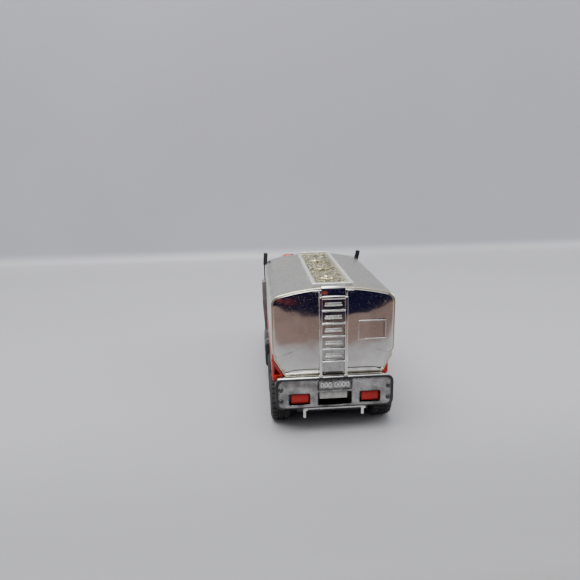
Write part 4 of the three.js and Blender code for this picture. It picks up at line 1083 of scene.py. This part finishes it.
def mirror(side, s):
    v = mirrorShape
    low, high = nodeBox(f"mirror_{side}")
    y = (low.y + high.y) / 2
    foot = high.z - v["height"]
    lean = v["lean"][side]
    x = s * v["x"][side] + math.sin(math.radians(lean)) * v["height"] / 2
    middle = foot + v["height"] / 2 * math.cos(math.radians(lean)) - 0.05
    stalkX = s * (v["x"][side] + 0.25)
    near, far = sorted((s * (cab["roofWidth"] / 2), x))
    made = roundedBlocks(f"mirrorHead_{side}", [
        ((x - v["width"] / 2, y - 0.4, middle - v["height"] / 2),
         (x + v["width"] / 2, y + 0.4, middle + v["height"] / 2), lean),
        ((stalkX - 0.2, y - 0.2, low.z), (stalkX + 0.2, y + 0.2, foot + 0.5)),
        ((near, y - 0.2, foot + 0.1), (far, y + 0.2, foot + 0.5)),
    ], 0.14, blackPlastic)
    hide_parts(f"mirror_{side}")


fairingShape = {"louvres": 7, "pitch": 0.9, "lowestLouvre": 14}


def sideFairing(side, s):
    v = fairingShape
    low, high = nodeBox(f"side_fairing_{side}")
    inner, outer = (high.x, low.x) if s < 0 else (low.x, high.x)
    outline = roundedOutline([
        (inner, low.z, 0.1), (outer - s * 0.5, low.z, 0.4), (outer - s * 0.45, low.z + 8, 2),
        (outer, low.z + 14, 3),
        (outer, high.z, 0.6), (inner, high.z, 0.15)], 8)
    made = plate(f"fairing_{side}", [outline], "y", low.y, high.y, 0.14, greyPlastic)
    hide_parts(f"side_fairing_{side}")
    x0, x1 = sorted((outer - s * 0.3, outer - s * 0.02))
    slots = []
    for i in range(v["louvres"]):
        z = low.z + v["lowestLouvre"] + i * v["pitch"]
        slots.append(((x0, low.y + 0.7, z), (x1, high.y - 0.7, z + 0.4)))
    roundedBlocks(f"fairingLouvres_{side}", slots, 0.1, blackPlastic)


def sideTank(name, s):
    low, high = nodeBox(name)
    outline = rectangle(low.x, high.x, low.z, high.z, 1.7, 8)
    made = plate(f"{name}Body", [outline], "y", low.y, high.y, 0.35, blackPlastic)
    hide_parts(name)
    outer = high.x if s > 0 else low.x
    x0, x1 = sorted((outer - s * 0.3, outer + s * 0.02))
    if s < 0:
        straps = [rectangle(low.x - 0.05, high.x, low.z - 0.05, high.z + 0.05, 1.75, 8)]
        for y in (low.y + 3, high.y - 3.6):
            plate(f"{name}Strap_{y:.0f}", straps, "y", y, y + 0.7, 0.08, wornPlating)
        turned(f"{name}Cap", [(0, 0), (0.9, 0), (0.9, 0.35), (0.7, 0.5), (0, 0.5)], "z",
               (high.x - 4.4, (low.y + high.y) / 2, high.z - 0.35), wornPlating)
    else:
        door = rectangle(low.y + 1.4, high.y - 1.4, low.z + 1.6, high.z - 1.6, 0.4)
        inner = rectangle(low.y + 1.6, high.y - 1.6, low.z + 1.8, high.z - 1.8, 0.3)
        plate(f"{name}Door", [door, inner], "x", x0, x1, 0.05, blackPlastic)
        latch = (low.y + high.y) / 2
        roundedBlocks(f"{name}Latch", [((x0, latch - 0.8, high.z - 2.9), (x1, latch + 0.8, high.z - 2.5))],
                      0.08, wornPlating)


cabBody()
cabTrim()
grille()
frontBumper()
for side, sign in sides:
    headlamp(side)
    mirror(side, sign)
    sideFairing(side, sign)
    sideTank("fuel_tank_left" if sign < 0 else "tool_box_right", sign)
print("cab made")

# CAD nodes that stay in view
shown = {
    "base_plate": (blackPlastic, 0.15), "chassis_frame": (blackPlastic, 0.12),
    "tank_cradle": (redPaint, 0.14),
    "cab_glazing": (windowPlastic, 0.05), "cab_interior": (interiorPlastic, 0.25),
    "steering_wheel": (interiorPlastic, 0.08),
    # The underrun bar wears the brightened plating, a painted highlight.
    "latch_tongue": (palePlastic, 0.2), "underrun_bar": (paintedHighlightChrome, 0.12),
    "base_rivet_rear": (axleSteel, 0.06),
    "base_rivet_front": (axleSteel, 0.06),
}
for name, (finish, edge) in shown.items():
    showNode(name, finish, edge)
print("shown nodes dressed")

# Stage
stage = {"wallY": 182, "edgeY": -178, "clothY": (-80, -104), "cloth": (0.16, 0.108, 0.092),
         # near is the share of the floor colour left where the painted shade in front of the truck is
         # darkest.
         "floor": (0.402, 0.402, 0.418), "near": 0.72, "half": 700, "cove": 9, "wallTop": 600,
         "colour": (0.52, 0.525, 0.56)}


def stageLook():
    v = stage
    look = bpy.data.materials.new("paper")
    look.use_nodes = True
    tree = look.node_tree
    shader = tree.nodes["Principled BSDF"]
    place = inMillimetres(tree)
    cloud = noise(tree, place, 0.006, 3.0, 0.5)
    colour = blendColours(tree, span(tree, cloud, 0.35, 0.65), v["colour"],
                          tuple(c * 0.95 for c in v["colour"]))
    parts = node(tree, "SeparateXYZ", {"Vector": place}).outputs
    along = parts["Y"]
    floor = blendColours(tree, span(tree, cloud, 0.35, 0.65), v["floor"], tuple(c * 0.96 for c in v["floor"]))
    # Painted shade: the floor darkens towards the camera in front of the truck, down to the share near of its
    # colour.
    floor = blendColours(tree, span(tree, along, -20, -75), floor, tuple(c * v["near"] for c in v["floor"]))
    colour = blendColours(tree, span(tree, parts["Z"], 0.4, 6.0), floor, colour)
    colour = blendColours(tree, span(tree, along, *v["clothY"]), colour, v["cloth"])
    fibre = noise(tree, place, 1.2, 4.0, 0.6)
    bump = node(tree, "Bump", {"Strength": 0.15, "Distance": 0.0002, "Height": fibre}).outputs["Normal"]
    tree.links.new(colour, shader.inputs["Base Color"])
    tree.links.new(bump, shader.inputs["Normal"])
    shader.inputs["Roughness"].default_value = 0.42
    return look


def backdrop():
    v = stage
    section = [(v["edgeY"], 0), (v["wallY"] - v["cove"], 0)]
    section += arc(v["wallY"] - v["cove"], v["cove"], v["cove"], -math.pi / 2, 0, 10)[1:]
    section.append((v["wallY"], v["wallTop"]))
    points = [(s * v["half"], y, z) for y, z in section for s in (-1, 1)]
    faces = [(2 * i, 2 * i + 1, 2 * i + 3, 2 * i + 2) for i in range(len(section) - 1)]
    made = rawObject("backdrop", points, faces)
    made.data.materials.append(stageLook())
    for face in made.data.polygons:
        face.use_smooth = True


backdrop()

# World, lights and camera
surroundings = {
    "overhead": (1.0, 1.0, 1.03), "side": (0.62, 0.62, 0.66), "dark": (0.010, 0.010, 0.038),
    "glow": (0.34, 0.07, 0.05), "seen": (0.66, 0.66, 0.70),
    "strength": 1.0, "glowToward": (-0.16, -0.98, 0.02), "glowReach": (0.15, 0.05),
}


def surroundingLight():
    v = surroundings
    world = bpy.data.worlds.new("room")
    bpy.context.scene.world = world
    world.use_nodes = True
    tree = world.node_tree
    direction = node(tree, "TexCoord").outputs["Generated"]
    parts = node(tree, "SeparateXYZ", {"Vector": direction}).outputs
    colour = blendColours(tree, span(tree, parts["Z"], 0.1, 0.6), v["side"], v["overhead"])
    behind = span(tree, parts["Y"], -0.25, -0.6)
    low = span(tree, parts["Z"], 0.62, 0.42)
    colour = blendColours(tree, maths(tree, "MULTIPLY", behind, low), colour, v["dark"])
    glow = node(tree, "VectorMath", operation="DISTANCE")
    tree.links.new(direction, glow.inputs[0])
    glow.inputs[1].default_value = v["glowToward"]
    colour = blendColours(tree, span(tree, glow.outputs["Value"], *v["glowReach"]), colour, v["glow"])
    direct = node(tree, "LightPath").outputs["Is Camera Ray"]
    colour = blendColours(tree, direct, colour, v["seen"])  # seen directly, the room is plain and pale
    background = tree.nodes["Background"]
    tree.links.new(colour, background.inputs["Color"])
    background.inputs["Strength"].default_value = v["strength"]


lamps = {  # place, aim, size, watts
    "ceilingLight": ((-120, -60, 620), (0, 60, 0), 520, 6.0),
    "windowLight": ((620, 40, 300), (0, 0, 20), 300, 1.6),
}


def areaLight(name, place, aim, size, watts):
    data = bpy.data.lights.new(name, "AREA")
    data.size = size / 1000
    data.energy = watts
    made = bpy.data.objects.new(name, data)
    bpy.context.scene.collection.objects.link(made)
    made.location = Vector(place) / 1000
    made.rotation_euler = (Vector(aim) - Vector(place)).to_track_quat("-Z", "Y").to_euler()


view = {"place": (-17.94, -148.0, 66.41), "yaw": -3.874, "pitch": -14.818, "roll": 1.14, "lens": 31.03,
        "sensor": 36, "shift": -0.0009}


def camera():
    data = bpy.data.cameras.new("camera")
    data.lens = view["lens"]
    data.sensor_width = view["sensor"]
    data.clip_start = 0.005
    data.clip_end = 20
    data.shift_y = view["shift"]
    made = bpy.data.objects.new("camera", data)
    bpy.context.scene.collection.objects.link(made)
    turn = Matrix.Rotation(math.radians(view["yaw"]), 3, "Z") @ Matrix.Rotation(math.radians(view["pitch"]),
        3, "X")
    turn = turn @ Matrix.Rotation(math.radians(view["roll"]), 3, "Y") @ Matrix.Rotation(math.radians(90), 3,
        "X")
    made.matrix_world = Matrix.Translation(Vector(view["place"]) / 1000) @ turn.to_4x4()
    bpy.context.scene.camera = made


surroundingLight()
for name, (place, aim, size, watts) in lamps.items():
    areaLight(name, place, aim, size, watts)
camera()
print("stage, lights and camera made")
